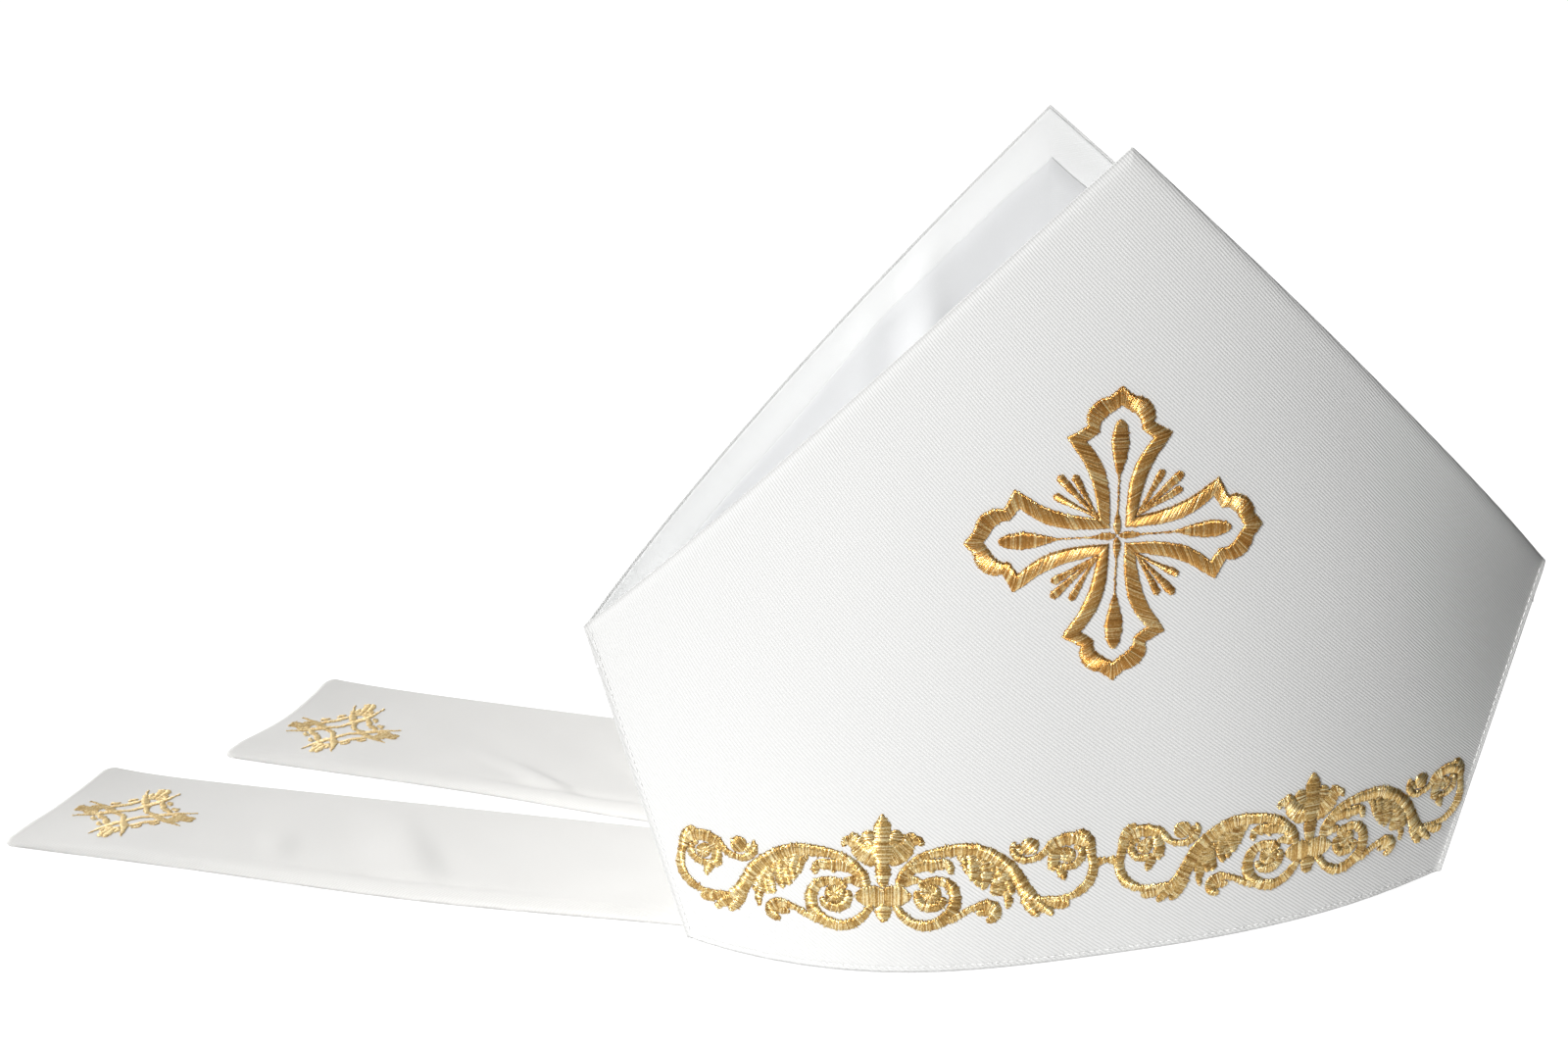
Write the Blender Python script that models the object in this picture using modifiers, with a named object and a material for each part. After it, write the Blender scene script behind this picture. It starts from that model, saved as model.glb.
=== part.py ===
"""A bishop's mitre standing on its rim, with its two lappets laid out on the surface behind it.

The mitre is a front and a back panel of stiffened satin, sewn together up to the two side
corners. Above the corners each panel ends in a point, and a soft lining spans the space between
the points. Raised gold embroidery lies on the front panel and on the lappets.

Units are metres, +Z is up, the front panel faces -Y and the side seams lie in the plane Y = 0
of the mitre before the whole part is moved so that its origin is its bottom centre.
"""

import bmesh
import bpy
import numpy as np
from mathutils import Vector

# Driving sizes of the two panels.
CORNER_HALF_WIDTH = 0.175
CORNER_HEIGHT = 0.1215
PEAK_HEIGHT = 0.286
EDGE_BULGE = 0.0023  # how far the middle of a sloping edge stands above a straight line
RIM_HALF_WIDTH = 0.1417
RIM_DEPTH = 0.0403  # from the seam plane out to the middle of a panel, at the rim
PEAK_DEPTH = 0.0496  # the same, at the points
DEPTH_POWER = 2.2
RIM_ROUNDNESS = 2.89  # exponent of the plan curve: 2 is a parabola, more is boxier
PEAK_ROUNDNESS = 1.72
RIM_SWAY = 0.34  # share by which the front belly leans towards -X at the rim
RIM_CORNER_LIFT = 0.0014

PANEL_WALL = 0.0022
LINING_WALL = 0.0015
LAPPET_WALL = 0.0020
GAP = 0.0003

# The lining hangs from this far inside the sloping edges.
FACING_WIDTH = 0.014
LINING_HALF_LENGTH = 0.160
VALLEY_HEIGHT = 0.150
VALLEY_END_HEIGHT = 0.121
VALLEY_POWER = 2.2

# The lappets.
LAPPET_WIDTH = 0.076
LAPPET_CORNER_RADIUS = 0.008
LAPPET_HIDDEN = 0.150  # nearer to the centre than this, the mitre hides a lappet

# The raised embroidery.
THREAD_HEIGHT = 0.0008
THREAD_GAP = 0.0004
SLICE_WIDTH = 0.009
MERGE = 0.00002
FLAT_ANGLE = 0.02
CROSS_HEIGHT = 0.1555
BAND_HALF_REPEAT = 0.079
BAND_ARC_HEIGHT = 0.030  # height at which the band is measured along the panel

MM = 0.001

# Lappets, one row each: name, angle of its length from -X towards +Y in degrees, distance of its
# near edge from the mitre's centre across that direction, distance of its end from the centre
# along it, lift of its far edge, and how strongly its far edge draws in towards the hidden root.
LAPPETS = (
    {"name": "lappet_left", "angle": 25.6, "near": -0.0487, "end": 0.4110, "lift": 0.0, "taper": 0.0},
    {"name": "lappet_right", "angle": 29.7, "near": 0.0288, "end": 0.3730, "lift": 0.006, "taper": 0.70},
)

# One quarter of the cross, for the arm that points up, from its crotch to its tip. Each row
# holds the outer and the inner outline of the gold border, as (across, along) in millimetres.
CROSS_BORDER = (
    {"outer": (6.0, 6.0), "inner": (2.6, 2.6)},
    {"outer": (7.5, 12.0), "inner": (2.9, 12.0)},
    {"outer": (9.5, 19.0), "inner": (4.3, 20.0)},
    {"outer": (13.0, 27.0), "inner": (7.0, 27.0)},
    {"outer": (18.2, 35.2), "inner": (11.2, 33.6)},
    {"outer": (11.5, 38.7), "inner": (7.5, 36.8)},
    {"outer": (11.8, 42.0), "inner": (6.9, 39.8)},
    {"outer": (11.0, 46.5), "inner": (5.2, 42.8)},
    {"outer": (8.4, 49.3), "inner": (3.6, 43.9)},
    {"outer": (2.8, 50.9), "inner": (1.6, 44.8)},
    {"outer": (0.0, 52.3), "inner": (0.0, 45.6)},
)

# Strokes of embroidery. Each point is (across, up, half width) in millimetres, and a stroke's
# name says what it draws.
CROSS_RAYS = {
    "steep_ray": ((6.6, 6.4, 0.4), (11.0, 14.0, 0.7), (14.6, 20.4, 1.3), (15.4, 21.9, 0.6)),
    "middle_ray": ((6.4, 6.4, 0.4), (14.0, 13.4, 0.8), (20.8, 19.6, 1.5), (22.2, 20.8, 0.6)),
    "flat_ray": ((6.4, 6.6, 0.4), (14.0, 11.0, 0.7), (20.4, 14.6, 1.3), (21.9, 15.4, 0.6)),
}
CROSS_PETAL = {
    "core_leaf": ((0.0, 0.0, 0.5), (0.0, 3.5, 1.2), (0.0, 8.0, 0.4)),
    "stem": ((0.0, 7.5, 0.4), (0.0, 21.5, 0.4)),
    "petal": ((0.0, 20.5, 0.4), (0.0, 26.0, 1.9), (0.0, 32.5, 3.0), (0.0, 38.0, 2.2), (0.0, 40.3, 0.5)),
}
BAND_STROKES = {
    "bar": ((-1.0, 29.8, 3.7), (4.0, 29.6, 3.6), (7.5, 29.3, 2.4), (9.8, 29.0, 0.6)),
    "bud": ((0.0, 27.0, 2.0), (0.0, 23.0, 2.6), (0.0, 19.8, 0.6)),
    "stem": ((0.0, 31.0, 1.3), (0.0, 36.0, 1.6), (0.0, 41.5, 3.2)),
    "middle_lobe": ((0.0, 41.0, 3.4), (0.0, 48.0, 4.2), (0.0, 55.0, 2.6), (0.0, 59.2, 0.5)),
    "inner_lobe": ((2.0, 44.0, 2.6), (4.2, 49.0, 2.4), (5.4, 53.2, 1.0)),
    "outer_lobe": (
        (1.5, 43.0, 2.4), (6.5, 45.5, 3.0), (10.0, 49.0, 2.2), (13.4, 49.6, 1.2), (13.8, 47.0, 0.5),
    ),
    "great_scroll": (
        (5.6, 31.0, 1.5), (8.0, 37.5, 1.7), (13.0, 42.6, 1.7), (20.0, 45.6, 1.8), (28.0, 46.3, 1.9),
        (36.0, 43.8, 2.2), (42.5, 38.8, 2.3), (47.3, 32.5, 2.2), (51.0, 27.0, 2.0), (55.5, 24.0, 1.5),
    ),
    "outer_scroll": (
        (54.0, 24.6, 1.5), (60.0, 24.0, 1.0), (66.5, 24.6, 1.2), (72.0, 27.8, 1.4), (74.8, 32.5, 1.3),
        (74.6, 38.0, 1.0), (74.6, 43.5, 1.5), (72.6, 47.4, 1.7), (69.6, 49.4, 0.6),
    ),
    "crest_leaf": (
        (73.4, 43.6, 1.4), (69.5, 46.0, 1.7), (65.0, 46.8, 1.9), (60.0, 46.0, 1.4), (56.5, 42.8, 1.0),
        (52.5, 40.2, 1.0), (48.0, 40.6, 1.1), (45.4, 43.4, 1.0), (45.6, 46.6, 0.5),
    ),
    "small_volute": ((45.4, 43.2, 1.2), (51.0, 44.8, 2.9), (54.2, 44.6, 1.2)),
    "crest_back_leaf": (
        (61.5, 45.4, 1.6), (59.4, 41.0, 1.8), (59.2, 37.6, 1.8), (62.0, 35.6, 1.6), (63.8, 31.4, 0.5),
    ),
    "eye_ring": (
        (60.6, 43.0, 1.4), (66.0, 42.6, 1.3), (69.4, 39.6, 1.4), (66.8, 36.4, 1.4), (61.6, 36.4, 1.4),
    ),
    "eye": ((62.6, 39.6, 1.0), (65.4, 39.8, 2.0), (68.8, 39.6, 1.0)),
    "lower_scroll": (
        (3.4, 26.4, 1.4), (6.6, 22.6, 1.3), (12.0, 19.0, 1.7), (18.6, 18.9, 1.8), (24.0, 22.4, 1.8),
        (25.4, 27.8, 1.6), (22.4, 33.0, 1.5), (16.5, 34.0, 1.6), (12.6, 31.0, 1.6),
    ),
    "lower_eye": ((11.6, 29.4, 1.6), (16.4, 29.0, 4.4), (22.4, 28.6, 1.4)),
    "lower_tail": (
        (20.0, 18.6, 1.2), (25.0, 19.9, 1.1), (29.0, 22.4, 1.0), (33.5, 24.6, 1.2), (38.0, 24.4, 1.9),
        (39.4, 21.0, 1.7), (36.8, 18.9, 1.1),
    ),
    "tail_leaf": ((37.6, 23.0, 1.6), (34.6, 22.2, 1.4), (32.6, 21.6, 0.5)),
    "inner_leaf": (
        (7.6, 36.4, 1.2), (12.4, 40.2, 1.8), (18.0, 40.6, 2.2), (21.8, 40.4, 1.5), (23.2, 37.0, 0.6),
    ),
    "hook_leaf": ((6.6, 34.0, 1.2), (10.4, 35.6, 1.2), (13.4, 34.4, 0.6)),
    "first_acanthus": ((29.0, 44.0, 1.2), (31.6, 39.6, 2.6), (32.6, 35.4, 2.8), (34.8, 30.6, 0.6)),
    "second_acanthus": ((34.5, 43.0, 2.4), (36.4, 38.6, 2.8), (35.6, 34.0, 1.2)),
    "third_acanthus": ((39.8, 39.4, 2.2), (40.4, 34.6, 2.0), (39.4, 31.0, 2.0), (39.6, 27.6, 0.6)),
    "fourth_acanthus": ((40.6, 33.4, 1.4), (43.4, 29.8, 1.8), (43.6, 26.0, 1.4), (43.6, 22.8, 0.4)),
    "first_foot_leaf": ((48.0, 29.6, 1.2), (50.4, 25.0, 2.4), (52.6, 21.6, 1.7), (54.2, 18.6, 0.5)),
    "second_foot_leaf": ((52.0, 25.0, 2.0), (56.4, 21.8, 1.7), (60.0, 18.6, 0.5)),
    "third_foot_leaf": ((55.0, 24.0, 1.6), (61.0, 22.6, 1.9), (66.0, 21.4, 0.6)),
}
QUARTER_TURNS = ((1, 0), (0, 1), (-1, 0), (0, -1))  # cosine and sine
BAND_JOIN = {"join": ((74.0, 35.6, 1.2), (76.4, 37.2, 1.0), (78.7, 37.0, 0.8))}
LAPPET_CROSS_STROKES = {
    "heart": ((0.0, 4.6, 0.9), (2.6, 3.6, 1.1), (4.6, 0.0, 0.9)),
    "strand": ((1.8, 3.6, 0.9), (1.4, 9.0, 1.1), (3.0, 14.0, 1.5), (6.6, 16.6, 1.4), (8.8, 13.8, 0.7)),
    "tip": ((0.0, 12.0, 1.6), (0.0, 17.0, 2.4), (0.0, 21.0, 3.2), (0.0, 25.2, 0.5)),
    "curl": ((2.8, 3.4, 0.8), (6.4, 5.4, 1.0), (7.4, 8.6, 0.8), (6.2, 10.6, 0.5)),
}

SATIN_WHITE = (0.86, 0.86, 0.85, 1.0)
LINING_WHITE = (0.76, 0.78, 0.81, 1.0)
GOLD_THREAD = (0.72, 0.50, 0.17, 1.0)


# ---------------------------------------------------------------- the shape of the panels


def half_width(z):
    """Half the distance between the two side seams at height z."""
    return RIM_HALF_WIDTH + (CORNER_HALF_WIDTH - RIM_HALF_WIDTH) * z / CORNER_HEIGHT


def panel_depth(x, z, side):
    """Distance of a panel's outer face from the seam plane. Side is -1 in front and 1 behind."""
    share = z / PEAK_HEIGHT
    across = x / half_width(z)
    depth = RIM_DEPTH + (PEAK_DEPTH - RIM_DEPTH) * np.clip(share, 0, None) ** DEPTH_POWER
    roundness = RIM_ROUNDNESS + (PEAK_ROUNDNESS - RIM_ROUNDNESS) * share
    sway = RIM_SWAY * np.clip(1 - z / CORNER_HEIGHT, 0, 1) if side < 0 else 0.0
    return depth * (1 - np.abs(across) ** roundness) * (1 - sway * across)


def panel_point(x, z, side):
    """Point of a panel's outer face."""
    return np.stack([x, side * panel_depth(x, z, side), z + 0 * x], axis=-1)


def panel_normal(x, z, side):
    """Unit vector that points out of a panel, from the slopes of its depth."""
    step = 0.0005
    slope_x = (panel_depth(x + step, z, side) - panel_depth(x - step, z, side)) / (2 * step)
    slope_z = (panel_depth(x, z + step, side) - panel_depth(x, z - step, side)) / (2 * step)
    normal = np.stack([-slope_x, side * np.ones_like(slope_x), -slope_z], axis=-1)
    return normal / np.linalg.norm(normal, axis=-1, keepdims=True)


def edge_height(x):
    """Height of the sloping edges: two nearly straight lines from the peak to the corners."""
    share = np.abs(x) / CORNER_HALF_WIDTH
    line = PEAK_HEIGHT + (CORNER_HEIGHT - PEAK_HEIGHT) * share
    return line + EDGE_BULGE * 4 * share * np.clip(1 - share, 0, None)


def band_x(arc):
    """x on the front panel at a distance along it, measured level from the centre line."""
    x = np.linspace(-1, 1, 801) * half_width(BAND_ARC_HEIGHT)
    y = panel_depth(x, BAND_ARC_HEIGHT, -1)
    along = np.concatenate([[0], np.cumsum(np.hypot(np.diff(x), np.diff(y)))])
    return np.interp(arc, along - np.interp(0, x, along), x)


# ---------------------------------------------------------------- the shape of the lappets


def lappet_axes(row):
    """Unit vectors along a lappet, towards its end, and across it, away from the mitre's front."""
    angle = np.radians(row["angle"])
    along = np.array([-np.cos(angle), np.sin(angle)])
    return along, np.array([along[1], -along[0]])


def lappet_point(row, distance, across):
    """Point of a lappet's underside at a distance from the centre and across from its near edge.

    The hidden root narrows, and the far edge may stand a little up.
    """
    along, aside = lappet_axes(row)
    share = np.clip(across / LAPPET_WIDTH, 0, 1)
    hidden = np.clip(LAPPET_HIDDEN - distance, 0, None)
    offset = row["near"] + across - row["taper"] * share * hidden**2
    x = along[0] * distance + aside[0] * offset
    y = along[1] * distance + aside[1] * offset
    away = np.clip((distance - 0.10) / 0.10, 0, 1)
    lift = row["lift"] * share**3 * away * away * (3 - 2 * away)
    return np.stack([x, y, lift], axis=-1)


def root_distance(row, across):
    """Where each lengthwise line of a lappet passes under the back panel's wall."""
    distance = np.linspace(-0.15, 0.20, 701)
    points = lappet_point(row, distance[None, :], across[:, None])
    inside = np.clip(points[..., 0] / RIM_HALF_WIDTH, -1, 1)
    wall = panel_depth(inside * RIM_HALF_WIDTH, 0.0, 1) - PANEL_WALL / 2
    outside = points[..., 1] > wall
    first = np.argmax(outside, axis=1)
    return distance[first]


def rounded_end(row, across):
    """How far out each lengthwise line of a lappet reaches, with its two end corners rounded."""
    from_middle = np.abs(across - LAPPET_WIDTH / 2) - (LAPPET_WIDTH / 2 - LAPPET_CORNER_RADIUS)
    share = np.clip(from_middle / LAPPET_CORNER_RADIUS, 0, 1)
    return row["end"] - LAPPET_CORNER_RADIUS * (1 - np.sqrt(1 - share**2))


# ---------------------------------------------------------------- making objects


def clear_scene():
    """Remove everything that a new file holds."""
    for obj in list(bpy.data.objects):
        bpy.data.objects.remove(obj, do_unlink=True)


def new_collection(name):
    """Make a collection in the scene."""
    collection = bpy.data.collections.new(name)
    bpy.context.scene.collection.children.link(collection)
    return collection


def new_material(name, colour, roughness, metallic=0.0):
    """Make a Principled material."""
    material = bpy.data.materials.new(name)
    material.use_nodes = True
    shader = material.node_tree.nodes["Principled BSDF"]
    shader.inputs["Base Color"].default_value = colour
    shader.inputs["Roughness"].default_value = roughness
    shader.inputs["Metallic"].default_value = metallic
    material.diffuse_color = colour
    return material


def new_object(name, bm, collection, material=None):
    """Make an object from a bmesh and free the bmesh."""
    mesh = bpy.data.meshes.new(name)
    bm.to_mesh(mesh)
    bm.free()
    obj = bpy.data.objects.new(name, mesh)
    collection.objects.link(obj)
    if material:
        mesh.materials.append(material)
    return obj


def bent_grid(columns, rows, shape):
    """Make a flat grid and move each vertex to shape(u, v), with u and v from -1 to 1."""
    bm = bmesh.new()
    bmesh.ops.create_grid(bm, x_segments=columns, y_segments=rows, size=1)
    flat = np.array([vertex.co[:] for vertex in bm.verts])
    for vertex, place in zip(bm.verts, shape(flat[:, 0], flat[:, 1])):
        vertex.co = place
    return bm


def thicken(obj, wall, offset):
    """Turn an open sheet into a wall. Offset is -1 or 1 for the side that the wall grows to."""
    solidify = obj.modifiers.new("wall", "SOLIDIFY")
    solidify.thickness = wall
    solidify.offset = offset
    solidify.use_even_offset = True


def cut_with(obj, cutter):
    """Cut a solid with an exact Boolean, which also resolves the solid's own overlaps."""
    boolean = obj.modifiers.new("cut", "BOOLEAN")
    boolean.operation = "DIFFERENCE"
    boolean.solver = "EXACT"
    boolean.use_self = True
    boolean.object = cutter


def half_space(name, side, collection):
    """Make a hidden box that covers everything beyond the seam plane of one panel."""
    bm = bmesh.new()
    bmesh.ops.create_cube(bm, size=1)
    bmesh.ops.translate(bm, verts=bm.verts, vec=Vector((0, -side * (0.5 - GAP / 2), 0.1)))
    cutter = new_object(name, bm, collection)
    cutter.hide_render = True
    cutter.display_type = "WIRE"
    return cutter


# ---------------------------------------------------------------- the cloth pieces


def panel_sheet(side):
    """Outer face of a panel as a grid from the rim to the sloping edges.

    The sheet runs a little past the side seams, where the cutter trims it.
    """
    overrun = 1.035
    rest = 0.0 if side < 0 else LAPPET_WALL + GAP

    def shape(u, v):
        across = u * overrun
        up = (v + 1) / 2
        low = RIM_CORNER_LIFT * across**2 if side < 0 else rest + 0 * across
        x_low = across * half_width(low)
        x = x_low + (across * CORNER_HALF_WIDTH - x_low) * up
        z = low + (edge_height(across * CORNER_HALF_WIDTH) - low) * up
        return panel_point(x, z, side)

    return bent_grid(30, 8, shape)


def make_panel(name, side, collection, cutters, material):
    """Make one stiff panel as a wall that stops at the seam plane."""
    sheet = panel_sheet(side)
    obj = new_object(name, sheet, collection, material)
    thicken(obj, PANEL_WALL, -1 if side < 0 else 1)
    cut_with(obj, half_space(name + "_cutter", side, cutters))
    return obj


def lining_edge(x, side):
    """Line on the inside of a panel from which the lining hangs, just clear of the panel."""
    slope = (PEAK_HEIGHT - CORNER_HEIGHT) / CORNER_HALF_WIDTH
    z = edge_height(x) - FACING_WIDTH * np.sqrt(1 + slope**2)
    inset = PANEL_WALL + GAP + LINING_WALL
    return panel_point(x, z, side) - inset * panel_normal(x, z, side)


def lining_sheet():
    """Upper face of the lining: a hanging valley between the two sloping edges."""

    def shape(u, v):
        x = u * LINING_HALF_LENGTH
        front = lining_edge(x, -1)
        back = lining_edge(x, 1)
        valley = VALLEY_END_HEIGHT + (VALLEY_HEIGHT - VALLEY_END_HEIGHT) * (1 - u**2)
        chosen = np.where(v[:, None] < 0, front, back)
        share = np.abs(v)
        low = np.minimum(valley, chosen[:, 2] - 0.002)
        return np.stack(
            [
                x + (chosen[:, 0] - x) * share,
                chosen[:, 1] * share,
                low + (chosen[:, 2] - low) * share**VALLEY_POWER,
            ],
            axis=-1,
        )

    return bent_grid(20, 12, shape)


def make_lining(collection, material):
    """Make the soft lining that closes the mitre between its two points."""
    obj = new_object("crown_lining", lining_sheet(), collection, material)
    thicken(obj, LINING_WALL, -1)
    return obj


def make_lappet(row, collection, material):
    """Make one lappet as a strip lying on the surface, from its end to under the back panel."""

    def shape(u, v):
        # The lengthwise lines are drawn together near the edges, where the end corners round.
        share = (u + 1) / 2
        across = LAPPET_WIDTH * (share - 0.6 * np.sin(2 * np.pi * share) / (2 * np.pi))
        root = root_distance(row, across)
        end = rounded_end(row, across)
        return lappet_point(row, root + (end - root) * (v + 1) / 2, across)

    obj = new_object(row["name"], bent_grid(12, 12, shape), collection, material)
    thicken(obj, LAPPET_WALL, 1)
    return obj


# ---------------------------------------------------------------- the embroidery


def smooth(points, steps):
    """Run a Catmull-Rom curve through rows of (across, up, half width)."""
    rows = np.array(points, float)
    rows = np.vstack([2 * rows[0] - rows[1], rows, 2 * rows[-1] - rows[-2]])
    t = np.arange(steps)[:, None] / steps
    spans = []
    for a, b, c, d in zip(rows, rows[1:], rows[2:], rows[3:]):
        spans.append(0.5 * (2 * b + (c - a) * t + (2 * a - 5 * b + 4 * c - d) * t**2
                            + (3 * b - a - 3 * c + d) * t**3))
    return np.vstack(spans + [rows[-2:-1]])


def stroke_sides(points, steps):
    """Left and right outlines of a stroke of varying width, in metres."""
    curve = smooth(points, steps)
    tangent = np.gradient(curve[:, :2], axis=0)
    tangent /= np.linalg.norm(tangent, axis=1, keepdims=True)
    aside = np.stack([-tangent[:, 1], tangent[:, 0]], axis=1) * curve[:, 2:3]
    return (curve[:, :2] + aside) * MM, (curve[:, :2] - aside) * MM


def add_ribbon(bm, left, right, closed=False):
    """Add a flat plate between two outlines, from 0 to THREAD_HEIGHT."""
    levels = []
    for height in (0.0, THREAD_HEIGHT):
        for outline in (left, right):
            levels.append([bm.verts.new((x, y, height)) for x, y in outline])
    low_left, low_right, high_left, high_right = levels
    count = len(left)
    faces = []
    for i in range(count if closed else count - 1):
        j = (i + 1) % count
        faces.append((high_left[i], high_left[j], high_right[j], high_right[i]))
        faces.append((low_left[i], low_right[i], low_right[j], low_left[j]))
        faces.append((low_left[i], low_left[j], high_left[j], high_left[i]))
        faces.append((low_right[i], high_right[i], high_right[j], low_right[j]))
    if not closed:
        faces.append((low_left[0], high_left[0], high_right[0], low_right[0]))
        faces.append((low_left[-1], low_right[-1], high_right[-1], high_left[-1]))
    for corners in faces:
        bm.faces.new(corners)


def turned(turn):
    """Matrix that turns rows of (across, up) by a number of quarter turns."""
    cosine, sine = QUARTER_TURNS[turn]
    return np.array([[cosine, sine], [-sine, cosine]])


def add_strokes(bm, strokes, turns=1, steps=1, mirrored=True):
    """Add each stroke, its mirror image, and both turned by quarter turns."""
    for points in strokes.values():
        left, right = stroke_sides(points, steps)
        on_axis = all(abs(point[0]) < 1e-6 for point in points)
        for flip in (1, -1) if mirrored and not on_axis else (1,):
            for turn in range(turns):
                scale = np.array([flip, 1])
                add_ribbon(bm, left * scale @ turned(turn), right * scale @ turned(turn))


def fuse(name, bm, collection, material):
    """Join overlapping plates into one flat body.

    The exact Boolean resolves a mesh's own overlaps when it cuts it with anything, here with a
    small cube well below it.
    """
    bmesh.ops.recalc_face_normals(bm, faces=bm.faces)
    obj = new_object(name, bm, collection, material)
    seed_bm = bmesh.new()
    bmesh.ops.create_cube(seed_bm, size=MM)
    bmesh.ops.translate(seed_bm, verts=seed_bm.verts, vec=Vector((0, 0, -1)))
    seed = new_object(name + "_seed", seed_bm, collection)
    cut_with(obj, seed)
    graph = bpy.context.evaluated_depsgraph_get()
    fused = bpy.data.meshes.new_from_object(obj.evaluated_get(graph))
    obj.modifiers.clear()
    obj.data = fused
    bpy.data.objects.remove(seed, do_unlink=True)
    return obj


def lay_on(obj, place, slice_width=SLICE_WIDTH):
    """Slice a flat plate into narrow strips and bend it onto a surface with place(points)."""
    bm = bmesh.new()
    bm.from_mesh(obj.data)
    bmesh.ops.remove_doubles(bm, verts=bm.verts, dist=MERGE)
    bmesh.ops.dissolve_limit(bm, angle_limit=FLAT_ANGLE, verts=bm.verts, edges=bm.edges)
    xs = [vertex.co.x for vertex in bm.verts]
    for cut in np.arange(min(xs) + slice_width / 2, max(xs), slice_width):
        parts = list(bm.verts) + list(bm.edges) + list(bm.faces)
        bmesh.ops.bisect_plane(bm, geom=parts, dist=MERGE, plane_co=(cut, 0, 0), plane_no=(1, 0, 0))
    bmesh.ops.triangulate(bm, faces=bm.faces)
    flat = np.array([vertex.co[:] for vertex in bm.verts])
    for vertex, target in zip(bm.verts, place(flat)):
        vertex.co = target
    bm.to_mesh(obj.data)
    bm.free()


def on_front(x, z, height):
    """Point at a height above the front panel's outer face."""
    return panel_point(x, z, -1) + (THREAD_GAP + height)[:, None] * panel_normal(x, z, -1)


def make_cross_border(collection, material):
    """Make the cross's gold border, one closed loop, with the rays that spring from its crotches."""
    outlines = []
    for column in ("outer", "inner"):
        rising = np.array([row[column] for row in CROSS_BORDER])
        falling = (rising * (-1, 1))[-2:0:-1]
        arm = np.vstack([rising, falling, rising[:1] * (-1, 1)])[:-1]
        loop = []
        for turn in range(4):
            loop.append(arm @ turned(turn))
        outlines.append(np.vstack(loop) * MM)
    bm = bmesh.new()
    add_ribbon(bm, outlines[0], outlines[1], closed=True)
    add_strokes(bm, CROSS_RAYS, turns=4, mirrored=False)
    obj = fuse("cross_border", bm, collection, material)
    lay_on(obj, lambda flat: on_front(flat[:, 0], CROSS_HEIGHT + flat[:, 1], flat[:, 2]))
    return obj


def make_cross_petals(collection, material):
    """Make the four petals inside the cross, joined by their stems."""
    bm = bmesh.new()
    add_strokes(bm, CROSS_PETAL, turns=4)
    obj = fuse("cross_petals", bm, collection, material)
    lay_on(obj, lambda flat: on_front(flat[:, 0], CROSS_HEIGHT + flat[:, 1], flat[:, 2]))
    return obj


def make_band(name, side, collection, material):
    """Make one scroll motif of the band. Side is -1 for the left one and 1 for the right one."""
    bm = bmesh.new()
    add_strokes(bm, BAND_STROKES)
    join = {key: tuple((-side * x, z, half) for x, z, half in points) for key, points in BAND_JOIN.items()}
    add_strokes(bm, join, mirrored=False)
    obj = fuse(name, bm, collection, material)
    lay_on(obj, lambda flat: on_front(band_x(side * BAND_HALF_REPEAT + flat[:, 0]), flat[:, 1], flat[:, 2]))
    return obj


def make_lappet_cross(row, collection, material):
    """Make the small cross near a lappet's end."""
    bm = bmesh.new()
    add_strokes(bm, LAPPET_CROSS_STROKES, turns=4)
    obj = fuse(row["name"].replace("lappet", "lappet_cross"), bm, collection, material)
    centre = row["end"] - 0.0360

    def place(flat):
        under = lappet_point(row, centre - flat[:, 0], LAPPET_WIDTH / 2 + flat[:, 1])
        under[:, 2] += LAPPET_WALL + THREAD_GAP + flat[:, 2]
        return under

    lay_on(obj, place, slice_width=LAPPET_WIDTH)
    return obj


# ---------------------------------------------------------------- the whole mitre


def centre_on_base(objects):
    """Move every object so that the origin is the bottom centre of them all."""
    bpy.context.view_layer.update()
    graph = bpy.context.evaluated_depsgraph_get()
    corners = []
    for obj in objects:
        evaluated = obj.evaluated_get(graph)
        mesh = evaluated.to_mesh()
        corners.extend(vertex.co[:] for vertex in mesh.vertices)
        evaluated.to_mesh_clear()
    corners = np.array(corners)
    low = corners.min(axis=0)
    high = corners.max(axis=0)
    shift = Vector((-(low[0] + high[0]) / 2, -(low[1] + high[1]) / 2, -low[2]))
    for obj in bpy.data.objects:
        obj.location = shift


def main():
    """Build every piece of the mitre."""
    clear_scene()
    mitre = new_collection("bishop_mitre")
    cutters = new_collection("cutters")
    cutters.hide_render = True

    pieces = [
        make_panel("front_panel", -1, mitre, cutters, new_material("front_satin", SATIN_WHITE, 0.45)),
        make_panel("back_panel", 1, mitre, cutters, new_material("back_satin", SATIN_WHITE, 0.45)),
        make_lining(mitre, new_material("lining_cloth", LINING_WHITE, 0.7)),
    ]
    for row in LAPPETS:
        pieces.append(make_lappet(row, mitre, new_material(row["name"] + "_satin", SATIN_WHITE, 0.5)))

    pieces.append(make_cross_border(mitre, new_material("border_gold", GOLD_THREAD, 0.35, 0.6)))
    pieces.append(make_cross_petals(mitre, new_material("petal_gold", GOLD_THREAD, 0.4, 0.6)))
    for name, side in (("scroll_band_left", -1), ("scroll_band_right", 1)):
        pieces.append(make_band(name, side, mitre, new_material(name + "_gold", GOLD_THREAD, 0.35, 0.6)))
    for row in LAPPETS:
        gold = new_material(row["name"] + "_gold", GOLD_THREAD, 0.4, 0.6)
        pieces.append(make_lappet_cross(row, mitre, gold))
    centre_on_base(pieces)


main()
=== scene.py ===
"""A bishop's mitre in white satin with gold satin-stitch embroidery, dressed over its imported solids.

The panels, the lining and the two lappets are cloth worked out as grids of points. The gold work
is made thread by thread: each stitch is a small arched strand laid across its stroke. Units are
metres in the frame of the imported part. The mitre's own frame, in which the shapes are written,
has its side seams in the plane y = 0, its rim at z = 0 and its front facing -y.
"""

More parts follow.
